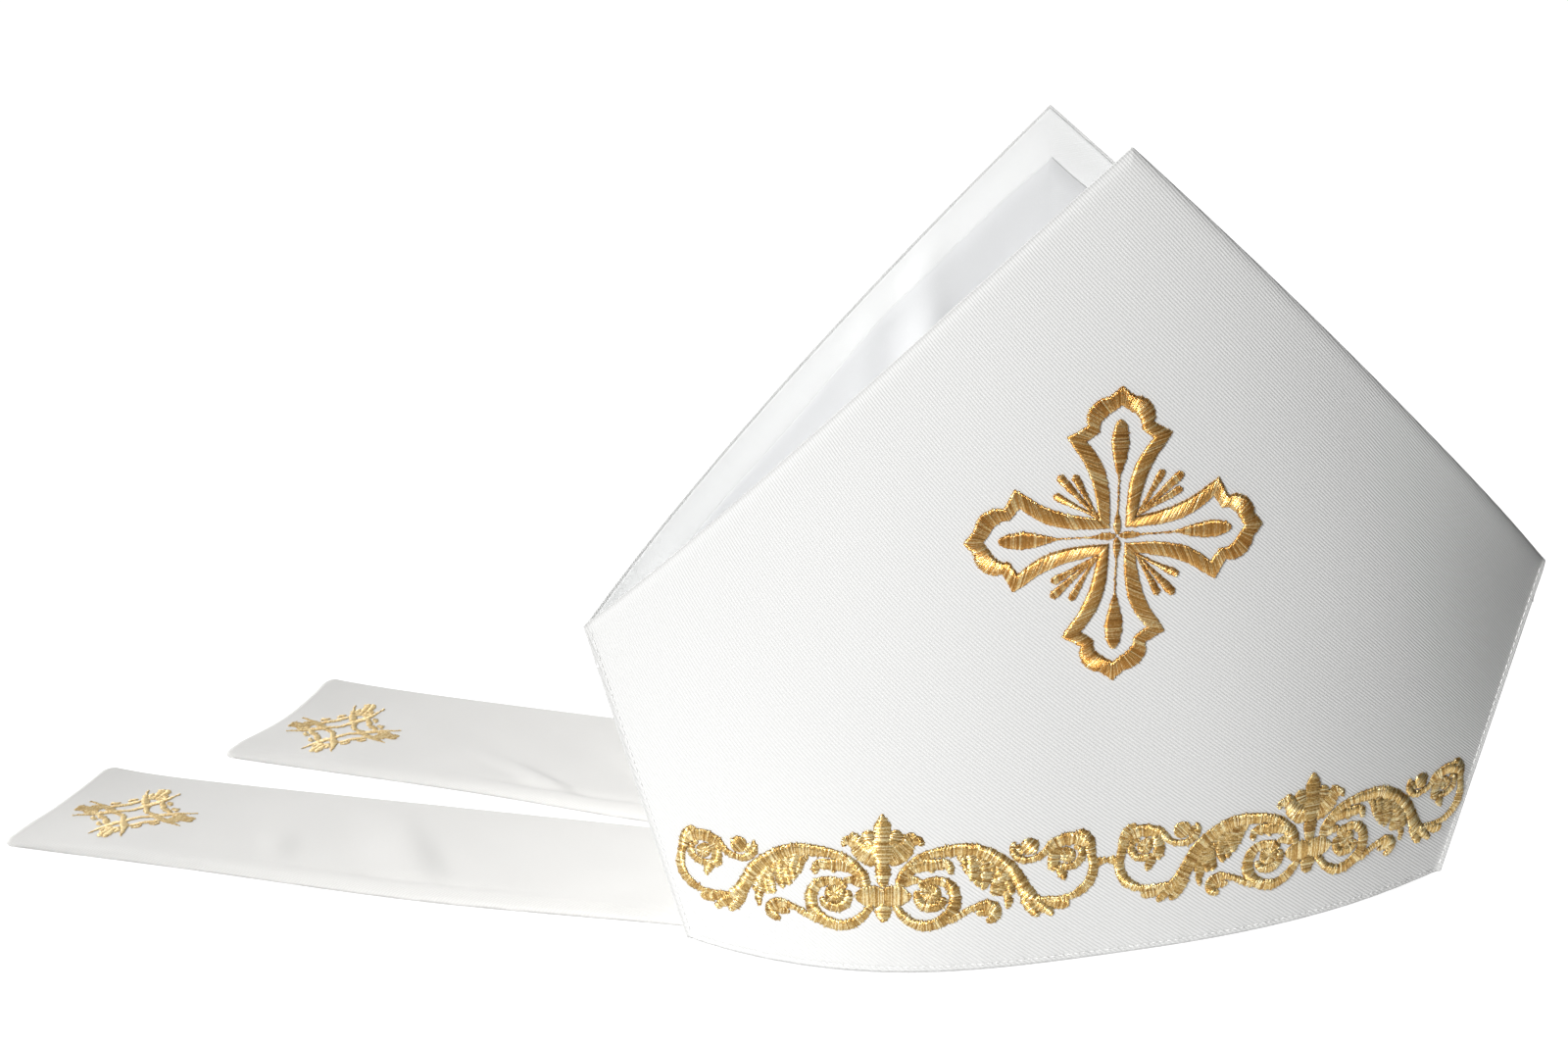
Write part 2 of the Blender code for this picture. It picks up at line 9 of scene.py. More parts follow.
import logging
from collections.abc import Callable, Iterable
from dataclasses import dataclass, field
from enum import Enum

import bpy
import numpy as np
from mathutils import Matrix, Vector


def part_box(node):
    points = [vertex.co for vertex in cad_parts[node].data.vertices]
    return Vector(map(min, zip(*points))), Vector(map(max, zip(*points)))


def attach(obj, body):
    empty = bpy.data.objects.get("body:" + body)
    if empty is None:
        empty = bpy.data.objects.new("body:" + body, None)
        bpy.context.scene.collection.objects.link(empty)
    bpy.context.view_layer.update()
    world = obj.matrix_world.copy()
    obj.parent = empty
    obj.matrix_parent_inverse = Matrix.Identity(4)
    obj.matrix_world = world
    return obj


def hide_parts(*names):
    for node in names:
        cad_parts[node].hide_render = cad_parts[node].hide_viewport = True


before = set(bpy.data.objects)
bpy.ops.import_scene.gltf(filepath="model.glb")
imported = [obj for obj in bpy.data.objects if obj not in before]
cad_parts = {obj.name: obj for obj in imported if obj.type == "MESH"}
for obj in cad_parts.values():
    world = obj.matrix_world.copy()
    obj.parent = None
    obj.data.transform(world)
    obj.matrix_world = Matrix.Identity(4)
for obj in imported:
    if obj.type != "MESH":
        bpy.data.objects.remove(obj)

Array = np.ndarray
Material = bpy.types.Material
Piece = bpy.types.Object
Socket = bpy.types.NodeSocket
Triple = tuple[float, float, float]

MM = 0.001
# A wave texture of scale 1 runs through 20 radians for each metre.
WAVE_SCALE = 2 * np.pi / 20
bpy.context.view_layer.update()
LOG = logging.getLogger("mitre")


class Side(Enum):
    """Which panel: in front of the seam plane or behind it."""

    FRONT = -1
    BACK = 1


# ---------------------------------------------------------------- meshes from arrays


def grid_faces(rows: int, columns: int, round_rows: bool = False) -> Array:
    """Quads of a grid of points numbered row by row.

    Args:
        rows: Number of rows.
        columns: Number of columns.
        round_rows: True if the last row joins the first.

    Returns:
        Corner numbers, one row of four for each quad.
    """
    starts = np.arange(rows if round_rows else rows - 1)
    j, i = np.meshgrid(starts, np.arange(columns - 1), indexing="ij")
    k = (j + 1) % rows
    corners = [j * columns + i, j * columns + i + 1, k * columns + i + 1, k * columns + i]
    return np.stack(corners, -1).reshape(-1, 4)


def unit(vectors: Array) -> Array:
    """Each vector divided by its length."""
    return vectors / np.maximum(np.linalg.norm(vectors, axis=-1, keepdims=True), 1e-12)


def ease(value: Array, low: float, high: float) -> Array:
    """Smooth step: 0 below low, 1 above high, with level ends."""
    share = np.clip((value - low) / (high - low), 0, 1)
    return share * share * (3 - 2 * share)


def bump(value: Array, centre: float, spread: float) -> Array:
    """Bell curve of height 1 round a centre."""
    return np.exp(-(((value - centre) / spread) ** 2))


def quarter_round(share: Array) -> Array:
    """Height of a quarter circle: it rises steeply from 0 at share 0 and is level at 1."""
    return np.sqrt(np.clip(1 - (1 - np.clip(share, 0, 1)) ** 2, 0, 1))


def run_length(points: Array) -> Array:
    """Distance along a line of points, from 0 at its first."""
    return np.concatenate([[0], np.cumsum(np.linalg.norm(np.diff(points, axis=0), axis=1))])


def points_at(spot: Array, length: Array, line: Array) -> Array:
    """Rows of a line at given distances along it, read off column by column."""
    return np.stack([np.interp(spot, length, column) for column in line.T], -1)


def new_object(name: str, data: bpy.types.ID) -> Piece:
    """Make an object from its data and put it in the scene."""
    thing = bpy.data.objects.new(name, data)
    bpy.context.scene.collection.objects.link(thing)
    return thing


def arch(share: Array) -> Array:
    """Height of a full arch of height 1 over shares from 0 to 1: steep at both ends, flat on top."""
    return np.clip(1 - np.abs(2 * share - 1) ** 3.2, 0, 1) ** 0.5


def set_tone(mesh: bpy.types.Mesh, tone: Array) -> None:
    """Store a number from 0 to 1 for each point, which the finish reads."""
    store = mesh.attributes.new("tone", "FLOAT", "POINT")
    store.data.foreach_set("value", tone.astype(np.float32))


def make_piece(
    name: str,
    points: Array,
    faces: Array,
    material: Material,
    uv: Array | None = None,
    tone: Array | None = None,
) -> Piece:
    """Make a smooth mesh object with outward faces.

    The sum over the faces of the point times the face's area vector is six times the volume of
    a closed mesh, and where it is negative every face is turned round.

    Args:
        name: Name of the piece.
        points: Points, one row each.
        faces: Corner numbers of the quads.
        material: What it is made of.
        uv: Place of each point on the flat cloth, in metres.
        tone: A number from 0 to 1 for each point, which the finish reads.

    Returns:
        The object, at the origin, with its place in its mesh.
    """
    a, b, c, d = (points[faces[:, k]] for k in range(4))
    volume = (np.cross(b - a, c - a) * a).sum() + (np.cross(c - a, d - a) * a).sum()
    if volume < 0:
        faces = faces[:, ::-1]
    mesh = bpy.data.meshes.new(name)
    mesh.vertices.add(len(points))
    mesh.vertices.foreach_set("co", points.astype(np.float32).ravel())
    mesh.loops.add(faces.size)
    mesh.loops.foreach_set("vertex_index", faces.astype(np.int32).ravel())
    mesh.polygons.add(len(faces))
    mesh.polygons.foreach_set("loop_start", np.arange(0, faces.size, 4, dtype=np.int32))
    mesh.polygons.foreach_set("use_smooth", np.ones(len(faces), bool))
    mesh.update(calc_edges=True)
    if uv is not None:
        flat = mesh.uv_layers.new(name="cloth")
        flat.data.foreach_set("uv", uv[faces.ravel()].astype(np.float32).ravel())
    if tone is not None:
        set_tone(mesh, tone)
    mesh.validate()
    mesh.materials.append(material)
    return new_object(name, mesh)


def round_fold(start: Array, end: Array, before: Array, steps: int) -> Array:
    """Rows of a fold: a half circle from one edge line, round the middle, to the facing one.

    It stands out along the sheet's own direction there, by half the wall.

    Args:
        start: Edge line on the one face.
        end: Edge line on the other face.
        before: The row before the start, which gives the sheet's direction.
        steps: Number of steps in the fold.

    Returns:
        The rows between the two edge lines.
    """
    middle = (start + end) / 2
    along = np.gradient(start, axis=0)
    out = unit(start - before)
    out = unit(out - (out * unit(along)).sum(-1, keepdims=True) * unit(along))
    reach = np.linalg.norm(start - end, axis=-1, keepdims=True) / 2
    angle = np.linspace(0, np.pi, steps + 1)[1:-1, None, None]
    return middle + np.cos(angle) * (start - middle) + np.sin(angle) * reach * out


def cloth_shell(
    name: str, outer: Array, inner: Array, rounds: tuple[int, int], material: Material,
) -> Piece:
    """Close two facing grids of cloth into one shell whose first and last rows are round folds.

    Args:
        name: Name of the piece.
        outer: Points of the outer face, as rows from one fold to the other.
        inner: Points of the inner face, with as many columns, in the same order.
        rounds: Number of steps in the fold at the first row and in the one at the last row.
        material: What it is made of.

    Returns:
        The piece.
    """
    last = round_fold(outer[-1], inner[-1], outer[-2], rounds[1])
    first = round_fold(inner[0], outer[0], 2 * inner[0] - outer[0] + (outer[1] - inner[0]), rounds[0])
    loop = np.concatenate([outer, last, inner[::-1], first])
    rows, columns = loop.shape[:2]
    faces = [grid_faces(rows, columns, round_rows=True)]
    # The two open ends are closed by joining each outer row to the inner row that faces it.
    near = np.arange((rows + 1) // 2)
    far = rows - 1 - near
    for column, flip in ((0, 1), (columns - 1, -1)):
        cap = np.stack([near[:-1], near[1:], far[1:], far[:-1]], -1)[near[:-1] < far[:-1]]
        cap = cap * columns + column
        cap = cap[(cap[:, 1] != cap[:, 2]) & (cap[:, 0] != cap[:, 3])]
        faces.append(cap[:, ::flip])
    across = np.pad(np.linalg.norm(np.diff(loop, axis=1), axis=-1).cumsum(1), ((0, 0), (1, 0)))
    across -= across[:, columns // 2: columns // 2 + 1]
    up = np.pad(np.linalg.norm(np.diff(loop, axis=0), axis=-1).cumsum(0), ((1, 0), (0, 0)))
    uv = np.stack([across, up], -1).reshape(-1, 2)
    return make_piece(name, loop.reshape(-1, 3), np.concatenate(faces), material, uv)


def sheet_normals(points: Array) -> Array:
    """Unit normals of a grid of points: the cross product of its two directions."""
    return unit(np.cross(np.gradient(points, axis=1), np.gradient(points, axis=0)))


# ---------------------------------------------------------------- the mitre's shape


@dataclass(frozen=True)
class MitreForm:
    """Driving sizes of the mitre and the formulas of its panels, in metres."""

    corner_half_width: float = 0.175
    corner_height: float = 0.1215
    peak_height: float = 0.286
    edge_bulge: float = 0.0023
    rim_half_width: float = 0.1417
    rim_depth: float = 0.0403
    peak_depth: float = 0.0496
    depth_power: float = 2.2
    rim_roundness: float = 2.89
    peak_roundness: float = 1.72
    rim_sway: float = 0.34
    rim_corner_lift: float = 0.0014
    wall: float = 0.0022
    edge_wall: float = 0.0011
    edge_roll: float = 0.0006
    seam_gap: float = 0.00015
    band_height: float = 0.030

    def origin(self) -> Array:
        """Where the mitre's own origin lies in the part's frame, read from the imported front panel."""
        low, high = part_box("front_panel")
        return np.array([(low[0] + high[0]) / 2, high[1] + self.seam_gap, 0.0])

    def half_width(self, z: Array) -> Array:
        """Half the distance between the side seams: a straight line in z."""
        flare = self.corner_half_width - self.rim_half_width
        return self.rim_half_width + flare * z / self.corner_height

    def depth(self, x: Array, z: Array, side: Side) -> Array:
        """Distance of the outer face from the seam plane.

        The middle depth grows as a power of the height. Across, it falls as one minus a power of
        the share of the half width, and at the rim the front's belly leans to one side.

        Args:
            x: Distance across from the middle.
            z: Height above the rim.
            side: Which panel.

        Returns:
            The distance at each point.
        """
        share = z / self.peak_height
        across = x / self.half_width(z)
        growth = np.clip(share, 0, None) ** self.depth_power
        middle = self.rim_depth + (self.peak_depth - self.rim_depth) * growth
        roundness = self.rim_roundness + (self.peak_roundness - self.rim_roundness) * share
        sway = self.rim_sway * np.clip(1 - z / self.corner_height, 0, 1) if side is Side.FRONT else 0.0
        return middle * (1 - np.abs(across) ** roundness) * (1 - sway * across)

    def point(self, x: Array, z: Array, side: Side) -> Array:
        """Point of a panel's outer face, at each distance across and height."""
        x, z = np.broadcast_arrays(x, z)
        return np.stack([x, side.value * self.depth(x, z, side), z], axis=-1)

    def normal(self, x: Array, z: Array, side: Side) -> Array:
        """Unit vector out of a panel, from the slopes of its depth across and up."""
        step = 0.0005
        slope_x = (self.depth(x + step, z, side) - self.depth(x - step, z, side)) / (2 * step)
        slope_z = (self.depth(x, z + step, side) - self.depth(x, z - step, side)) / (2 * step)
        return unit(np.stack([-slope_x, side.value * np.ones_like(slope_x), -slope_z], axis=-1))

    def edge_height(self, x: Array) -> Array:
        """Height of the sloping edges: straight lines from the peak, with a slight bulge midway."""
        share = np.abs(x) / self.corner_half_width
        line = self.peak_height + (self.corner_height - self.peak_height) * share
        return line + self.edge_bulge * 4 * share * np.clip(1 - share, 0, None)

    def edge_stretch(self) -> float:
        """Length of a sloping edge's vertical offset for each metre square to the edge."""
        return float(np.hypot(1, (self.peak_height - self.corner_height) / self.corner_half_width))

    def wall_at(self, x: Array, z: Array) -> Array:
        """Wall of a panel, which thins smoothly towards the pressed fold of its sloping edge."""
        down = (self.edge_height(np.hypot(x, 0.007)) - z) / self.edge_stretch()
        return self.edge_wall + (self.wall - self.edge_wall) * ease(down, 0.0, 0.012)

    def roll(self, x: Array, z: Array) -> Array:
        """How far the outer face rolls back towards the sloping edge: a parabola 4 mm wide."""
        down = (self.edge_height(x) - z) / self.edge_stretch()
        return self.edge_roll * np.clip(1 - down / 0.004, 0, 1) ** 2

    def facing_width(self, x: Array) -> Array:
        """Width of the turned-in strip square to the edge: a little narrower midway down the left."""
        corner, waist = 0.0016 * bump(x, 0.0, 0.020), 0.0016 * bump(x, -0.055, 0.025)
        return 0.0118 + corner - waist + 0.0004 * np.sin(x / 0.009)

    def ripple(self, x: Array) -> Array:
        """How far the seam between turned-in strip and lining stands off the panel: soft dips."""
        dips = 0.0013 * bump(x, -0.0485, 0.0085) + 0.0006 * bump(x, -0.068, 0.008)
        return dips + 0.0001 * (1 + np.sin(x / 0.011 + 3))

    def from_panel(self, x: Array, z: Array, side: Side, inset: Array, least: float) -> Array:
        """Points inside a panel.

        Args:
            x: Distance across.
            z: Height.
            side: Which panel.
            inset: How far in they lie, along the normal.
            least: Their least distance from the seam plane.

        Returns:
            The points.
        """
        points = self.point(x, z, side) - inset[..., None] * self.normal(x, z, side)
        points[..., 1] = side.value * np.maximum(side.value * points[..., 1], least)
        return points

    def band_x(self, arc: Array) -> Array:
        """x on the front panel at a distance along its level line at the band's height."""
        x = np.linspace(-1, 1, 1601) * self.half_width(self.band_height)
        y = self.depth(x, self.band_height, Side.FRONT)
        along = np.concatenate([[0], np.cumsum(np.hypot(np.diff(x), np.diff(y)))])
        return np.interp(arc, along - np.interp(0, x, along), x)


# ---------------------------------------------------------------- finishes


class Smooth(Enum):
    """How a fade runs between its two ends."""

    STRAIGHT = "LINEAR"
    SOFT = "SMOOTHSTEP"


@dataclass(frozen=True)
class NodeBoard:
    """The nodes of a material or world, added one by one with their values and links."""

    tree: bpy.types.NodeTree

    def fill(self, node: bpy.types.Node, values: dict) -> bpy.types.Node:
        """Set or link a node's inputs.

        Args:
            node: The node.
            values: By an input's name or number, its constant or the output that feeds it.

        Returns:
            The same node.
        """
        for key, value in values.items():
            if isinstance(value, Socket):
                self.tree.links.new(value, node.inputs[key])
            else:
                node.inputs[key].default_value = value
        return node

    def add(self, kind: str, values: dict | None = None, **settings: str) -> bpy.types.Node:
        """Add a node.

        Args:
            kind: What it is, such as Bump.
            values: Its inputs, as in fill.
            settings: Its own settings by name.

        Returns:
            The node.
        """
        node = self.tree.nodes.new("ShaderNode" + kind)
        for key, value in settings.items():
            setattr(node, key, value)
        return self.fill(node, values or {})

    def feed(self, kind: str, output: str | int, values: dict | None = None, **settings: str) -> Socket:
        """Add a node, as add does, and give one of its outputs by its name or number."""
        return self.add(kind, values, **settings).outputs[output]

    def fade(self, value: Socket, start: float, end: float, how: Smooth, to: float = 1.0) -> Socket:
        """Rise from 0 at the start to a height at the end.

        Args:
            value: What is compared.
            start: Where the rise starts.
            end: Where it ends.
            how: How it runs between them.
            to: The height.

        Returns:
            The output.
        """
        values = {"Value": value, "From Min": start, "From Max": end, "To Max": to}
        return self.feed("MapRange", "Result", values, interpolation_type=how.value)


def new_material(name: str) -> tuple[Material, NodeBoard, bpy.types.Node]:
    """Start a material: itself, its nodes and its shader."""
    material = bpy.data.materials.new(name)
    material.use_nodes = True
    return material, NodeBoard(material.node_tree), material.node_tree.nodes["Principled BSDF"]


@dataclass(frozen=True)
class SatinFinish:
    """Smooth white satin: a fine twill, faint slubs, a soft sheen and painted shade along marked edges."""

    name: str
    colour: Triple = (0.80, 0.80, 0.79)
    roughness: float = 0.55
    sheen: float = 0.08
    twill_pitch: float = 0.00062
    twill_depth: float = 0.00005
    slub: float = 0.35
    shade: float = 0.94
    # How much darker the edges marked in the tone attribute are painted: painted shade, not wear.
    dulled: float = 0.0
    twill_angle: float = -52.0
    waviness: float = 1.2
    slub_scale: float = 900

    def material(self) -> Material:
        """Build the nodes: twill lines on the cloth's own UV raise the surface and tint it a little.

        Returns:
            The material.
        """
        satin, board, shader = new_material(self.name)
        flat = board.feed("UVMap", "UV", uv_map="cloth")
        turn = (0, 0, np.radians(self.twill_angle))
        # Twill lines: a sine across the turned cloth, one wave to each pitch.
        twill = board.feed("TexWave", "Fac", {
            "Vector": board.feed("Mapping", "Vector", {"Vector": flat, "Rotation": turn}),
            "Scale": WAVE_SCALE / self.twill_pitch,
            "Distortion": self.waviness, "Detail": 1.0, "Detail Scale": 0.35,
        }, wave_profile="SIN")
        slubs = board.feed("TexNoise", "Fac", {"Vector": flat, "Scale": self.slub_scale, "Detail": 2.0})
        relief = board.feed("Mix", 0, {"Factor": self.slub, 2: twill, 3: slubs})
        shaded = tuple(part * self.shade for part in self.colour)
        tint = board.feed("Mix", 2, {0: relief, 6: (*shaded, 1), 7: (*self.colour, 1)}, data_type="RGBA")
        # Painted shade: the edges marked in the tone attribute are darkened, a thin grey line where shade
        # falls along the seams, the rim and the fold.
        edges, edge_shade = board.feed("Attribute", "Fac", attribute_name="tone"), 1 - self.dulled
        edge_shading = {0: edges, 6: tint, 7: (*3 * (edge_shade,), 1)}
        raised = {"Height": relief, "Strength": 0.6, "Distance": self.twill_depth}
        board.fill(shader, {
            "Base Color": board.feed("Mix", 2, edge_shading, data_type="RGBA", blend_type="MULTIPLY"),
            "Normal": board.feed("Bump", "Normal", raised), "Roughness": self.roughness,
            "Sheen Weight": self.sheen, "Sheen Roughness": 0.4, "Specular IOR Level": 0.35,
        })
        return satin


@dataclass(frozen=True)
class ThreadFinish:
    """Embroidery or sewing thread: each stitch has its own tone, from dark to light."""

    name: str
    dark: Triple
    light: Triple
    metallic: float
    roughness: float
    middle: Triple | None = None
    fleck: float = 0.25
    fleck_scale: float = 1700
    grain: float = 0.00003

    def material(self) -> Material:
        """Build the nodes: the stitch's tone and a fine fleck choose the colour.

        Returns:
            The material.
        """
        thread, board, shader = new_material(self.name)
        tone = board.feed("Attribute", "Fac", attribute_name="tone")
        place = board.feed("TexCoord", "Object")
        grain = board.feed("TexNoise", "Fac", {"Vector": place, "Scale": self.fleck_scale, "Detail": 1.0})
        flecks = board.fade(grain, 0.34, 0.66, Smooth.STRAIGHT)
        mixed = board.feed("Mix", 0, {"Factor": self.fleck, 2: tone, 3: flecks})
        ramp = board.add("ValToRGB", {"Fac": mixed})
        steps = ramp.color_ramp.elements
        for step, position, colour in ((steps[0], 0.12, self.dark), (steps[1], 0.88, self.light)):
            step.position, step.color = position, (*colour, 1)
        if self.middle:
            steps.new(0.5).color = (*self.middle, 1)
        raised = {"Height": grain, "Strength": 0.9, "Distance": self.grain}
        board.fill(shader, {
            "Base Color": ramp.outputs["Color"], "Normal": board.feed("Bump", "Normal", raised),
            "Metallic": self.metallic, "Roughness": self.roughness,
        })
        return thread


# ---------------------------------------------------------------- the cloth


class Maker:
    """Anything that makes one piece of its own."""

    def build(self, name: str, material: Material) -> Piece:
        """Make the piece.

        Args:
            name: Name of the piece.
            material: What it is made of.

        Returns:
            The piece.
        """
        raise NotImplementedError


@dataclass
class Panel(Maker):
    """One stiff satin panel: a folded shell with a pressed side seam and a stitched hem."""

    form: MitreForm
    side: Side
    flange: float = 0.0011
    crease: float = 0.0004
    hem_line: float = 0.0024
    hem_depth: float = 0.00030
    rest: float = 0.0
    pressed: float = 0.00002
    edge_round: float = 0.0006
    outer_rows: int = 96
    inner_rows: int = 60
    fold_steps: tuple[int, int] = (7, 7)

    def columns(self) -> Array:
        """Shares of the half width: close together at the peak and at the seams."""
        near_peak = np.array([0, 0.4, 0.9, 1.5, 2.3, 3.3, 4.5]) * MM
        near_seam = np.array([0, 0.1, 0.25, 0.45, 0.7, 0.95, 1.2, 1.45, 1.7, 2.0, 2.4, 2.9, 3.6, 4.5, 5.6, 7])
        seam = self.form.corner_half_width - (near_seam * MM)[::-1]
        between = np.linspace(near_peak[-1], seam[0], 106)[1:-1]
        half = np.concatenate([near_peak, between, seam]) / self.form.corner_half_width
        return np.concatenate([-half[:0:-1], half])

    def rise(self, count: int, fine: bool) -> Array:
        """Shares of the height at which the rows lie.

        Args:
            count: Number of rows, apart from those that are close together at the hem and the edge.
            fine: True for the outer face. The inner one's rows only close up towards the edge.

        Returns:
            The shares, from the rim to the sloping edge.
        """
        if not fine:
            return 1 - np.linspace(1, 0, count) ** 1.5
        hem = np.array([0, 0.25, 0.5, 0.75, 1, 1.25, 1.5, 1.75, 2, 2.3, 2.7, 3.3, 4.2, 5.5]) * MM
        top = np.array([4.5, 2.6, 1.2, 0.4, 0]) * MM
        tall = self.form.peak_height
        middle = np.linspace(hem[-1], tall - top[0], count)[1:-1]
        return np.concatenate([hem, middle, tall - top]) / tall

    def rim_line(self, share: Array) -> Array:
        """Height of the rim at a share of the half width: the front's corners lift a little."""
        if self.side is Side.FRONT:
            return self.form.rim_corner_lift * share**2
        return self.rest + 0 * share

    def face(self, across: Array, up: Array) -> tuple[Array, Array]:
        """Grid from the rim to the sloping edges, clear of both folds.

        Args:
            across: Shares of the half width.
            up: Shares of the height.

        Returns:
            x and z of each point.
        """
        form = self.form
        low = self.rim_line(across) + form.wall / 2
        x_low = across * form.half_width(low)
        x = x_low + (across * form.corner_half_width - x_low) * up
        fold = (form.edge_wall - form.edge_roll) / 2
        high = form.edge_height(across * form.corner_half_width) - fold * form.edge_stretch()
        return x, low + (high - low) * up

    def undulation(self, x: Array, z: Array) -> Array:
        """Height of the cloth's own soft waves over the stiff panel.

        Long sines run over the whole panel. The left seam puckers in a few places, and the hem's
        stitches press a line in.

        Args:
            x: Distance across.
            z: Height.

        Returns:
            The height at each point.
        """
        wave = 0.00016 * np.sin(x / 0.031 + 1.3 * np.sin(z / 0.047)) * np.sin(z / 0.038 + 0.7)
        wave += 0.00008 * np.sin(x / 0.013 + z / 0.021)
        from_seam = self.form.half_width(z) - np.abs(x)
        pucker = np.sin(z / 0.0016 + 0.8 * np.sin(z / 0.006)) * np.exp(-from_seam / 0.006)
        place = bump(z, 0.103, 0.016) + 0.35 * bump(z, 0.060, 0.012) if self.side is Side.FRONT else 0.3
        wave += 0.00016 * pucker * place * (x < 0)
        rim = self.above_rim(x, z)
        wave -= self.hem_depth * bump(rim, self.hem_line, 0.00055)
        wave += 0.00007 * np.sin(x / 0.0019) * bump(rim, self.hem_line, 0.0024)
        return wave * ease(z, 0.0, 0.002)

    def above_rim(self, x: Array, z: Array) -> Array:
        """Height over the rim's curved line."""
        return z - self.form.rim_corner_lift * (x / self.form.half_width(z)) ** 2 - self.rest

    def outer(self, x: Array, z: Array) -> Array:
        """Points of the outer face.

        Near a side seam the depth gives way to a flat flange, as the root of a sum of squares,
        and the flange's last part rounds over to the seam plane as a quarter circle.

        Args:
            x: Distance across.
            z: Height.

        Returns:
            The points.
        """
        form = self.form
        depth = form.depth(x, z, self.side)
        flat = self.flange
        depth = (depth + flat + np.sqrt((depth - flat) ** 2 + self.crease**2)) / 2
        from_edge = (form.half_width(z) - np.abs(x)) / self.edge_round
        depth = depth - (self.edge_round - self.pressed) * (1 - quarter_round(from_edge))
        depth = np.maximum(depth - form.roll(x, z), self.pressed)
        base = np.stack([x, self.side.value * depth, z + 0 * x], axis=-1)
        calm = ease(form.half_width(z) - np.abs(x), 0.0012, 0.004)
        return base + (self.undulation(x, z) * calm)[..., None] * form.normal(x, z, self.side)

    def inner(self, x: Array, z: Array) -> Array:
        """Points of the inner face: the plain face moved in by the wall, held off the seam plane."""
        return self.form.from_panel(x, z, self.side, self.form.wall_at(x, z), self.pressed)

    def build(self, name: str, material: Material) -> Piece:
        """Make the panel's shell."""
        across = self.columns()[None, :]
        x, z = self.face(across, self.rise(self.outer_rows, True)[:, None])
        x_in, z_in = self.face(across, self.rise(self.inner_rows, False)[:, None])
        outer = self.outer(x, z) + self.form.origin()
        inner = self.inner(x_in, z_in) + self.form.origin()
        shell = cloth_shell(name, outer, inner, self.fold_steps, material)
        self.handle(shell)
        return shell

    def handle(self, shell: Piece) -> None:
        """Mark where painted shade darkens the shell, as bell curves of the distance from the side seams, the
        rim and the front's sloping fold.

        Args:
            shell: The panel's piece.
        """
        places = np.empty(3 * len(shell.data.vertices), np.float32)
        shell.data.vertices.foreach_get("co", places)
        x, z = (places.reshape(-1, 3) - self.form.origin()).T[[0, 2]]
        down = (self.form.edge_height(x) - z) / self.form.edge_stretch()
        from_seam = self.form.half_width(z) - np.abs(x)
        # Painted shade: a thin grey line along the side seams and the rim, and on the front along the sloping
        # fold.
        edge_shade = 0.5 * np.maximum(bump(from_seam, 0.0, 0.0008), bump(self.above_rim(x, z), 0.0, 0.0007))
        if self.side is Side.FRONT:
            edge_shade = np.maximum(edge_shade, bump(down, 0.0, 0.0009))
        set_tone(shell.data, edge_shade)


@dataclass
class Facing(Maker):
    """The satin turned in along a horn's sloping edges, as a thin soft strip inside the panel."""

    form: MitreForm
    side: Side
    thickness: float = 0.00025
    gap: float = 0.00012
    start: float = 0.0010
    tuck: float = 0.0016
    off_seam: float = 0.0009
    half_length: float = 0.1722
    rows: int = 15

    def surface(self, x: Array, share: Array) -> Array:
        """Points of the side that shows.

        Args:
            x: Distance across.
            share: From 0 just inside the edge fold to 1 at the free edge under the lining.

        Returns:
            The points.
        """
        form = self.form
        down = self.start + (form.facing_width(x) + self.tuck - self.start) * share
        z = form.edge_height(x) - down * form.edge_stretch()
        inset = form.wall_at(x, z) + self.gap + self.thickness + form.ripple(x) * ease(share, -0.2, 0.9)
        return form.from_panel(x, z, self.side, inset, self.off_seam)

    def build(self, name: str, material: Material) -> Piece:
        """Make the strip."""
        # The columns are closer together at the peak, where the strip folds round the corner.
        half = np.concatenate([np.linspace(0, 0.003, 5), np.linspace(0.004, self.half_length, 113)])
        x = np.concatenate([-half[:0:-1], half])
        share = np.linspace(0, 1, self.rows)[:, None]
        seen = self.surface(x[None, :], share) + self.form.origin()
        normals = sheet_normals(seen)
        towards = np.array([0, self.side.value, 0])
        normals *= np.sign((normals * towards).sum(-1, keepdims=True))
        hidden = seen + normals * self.thickness
        return cloth_shell(name, seen, hidden, (4, 6), material)


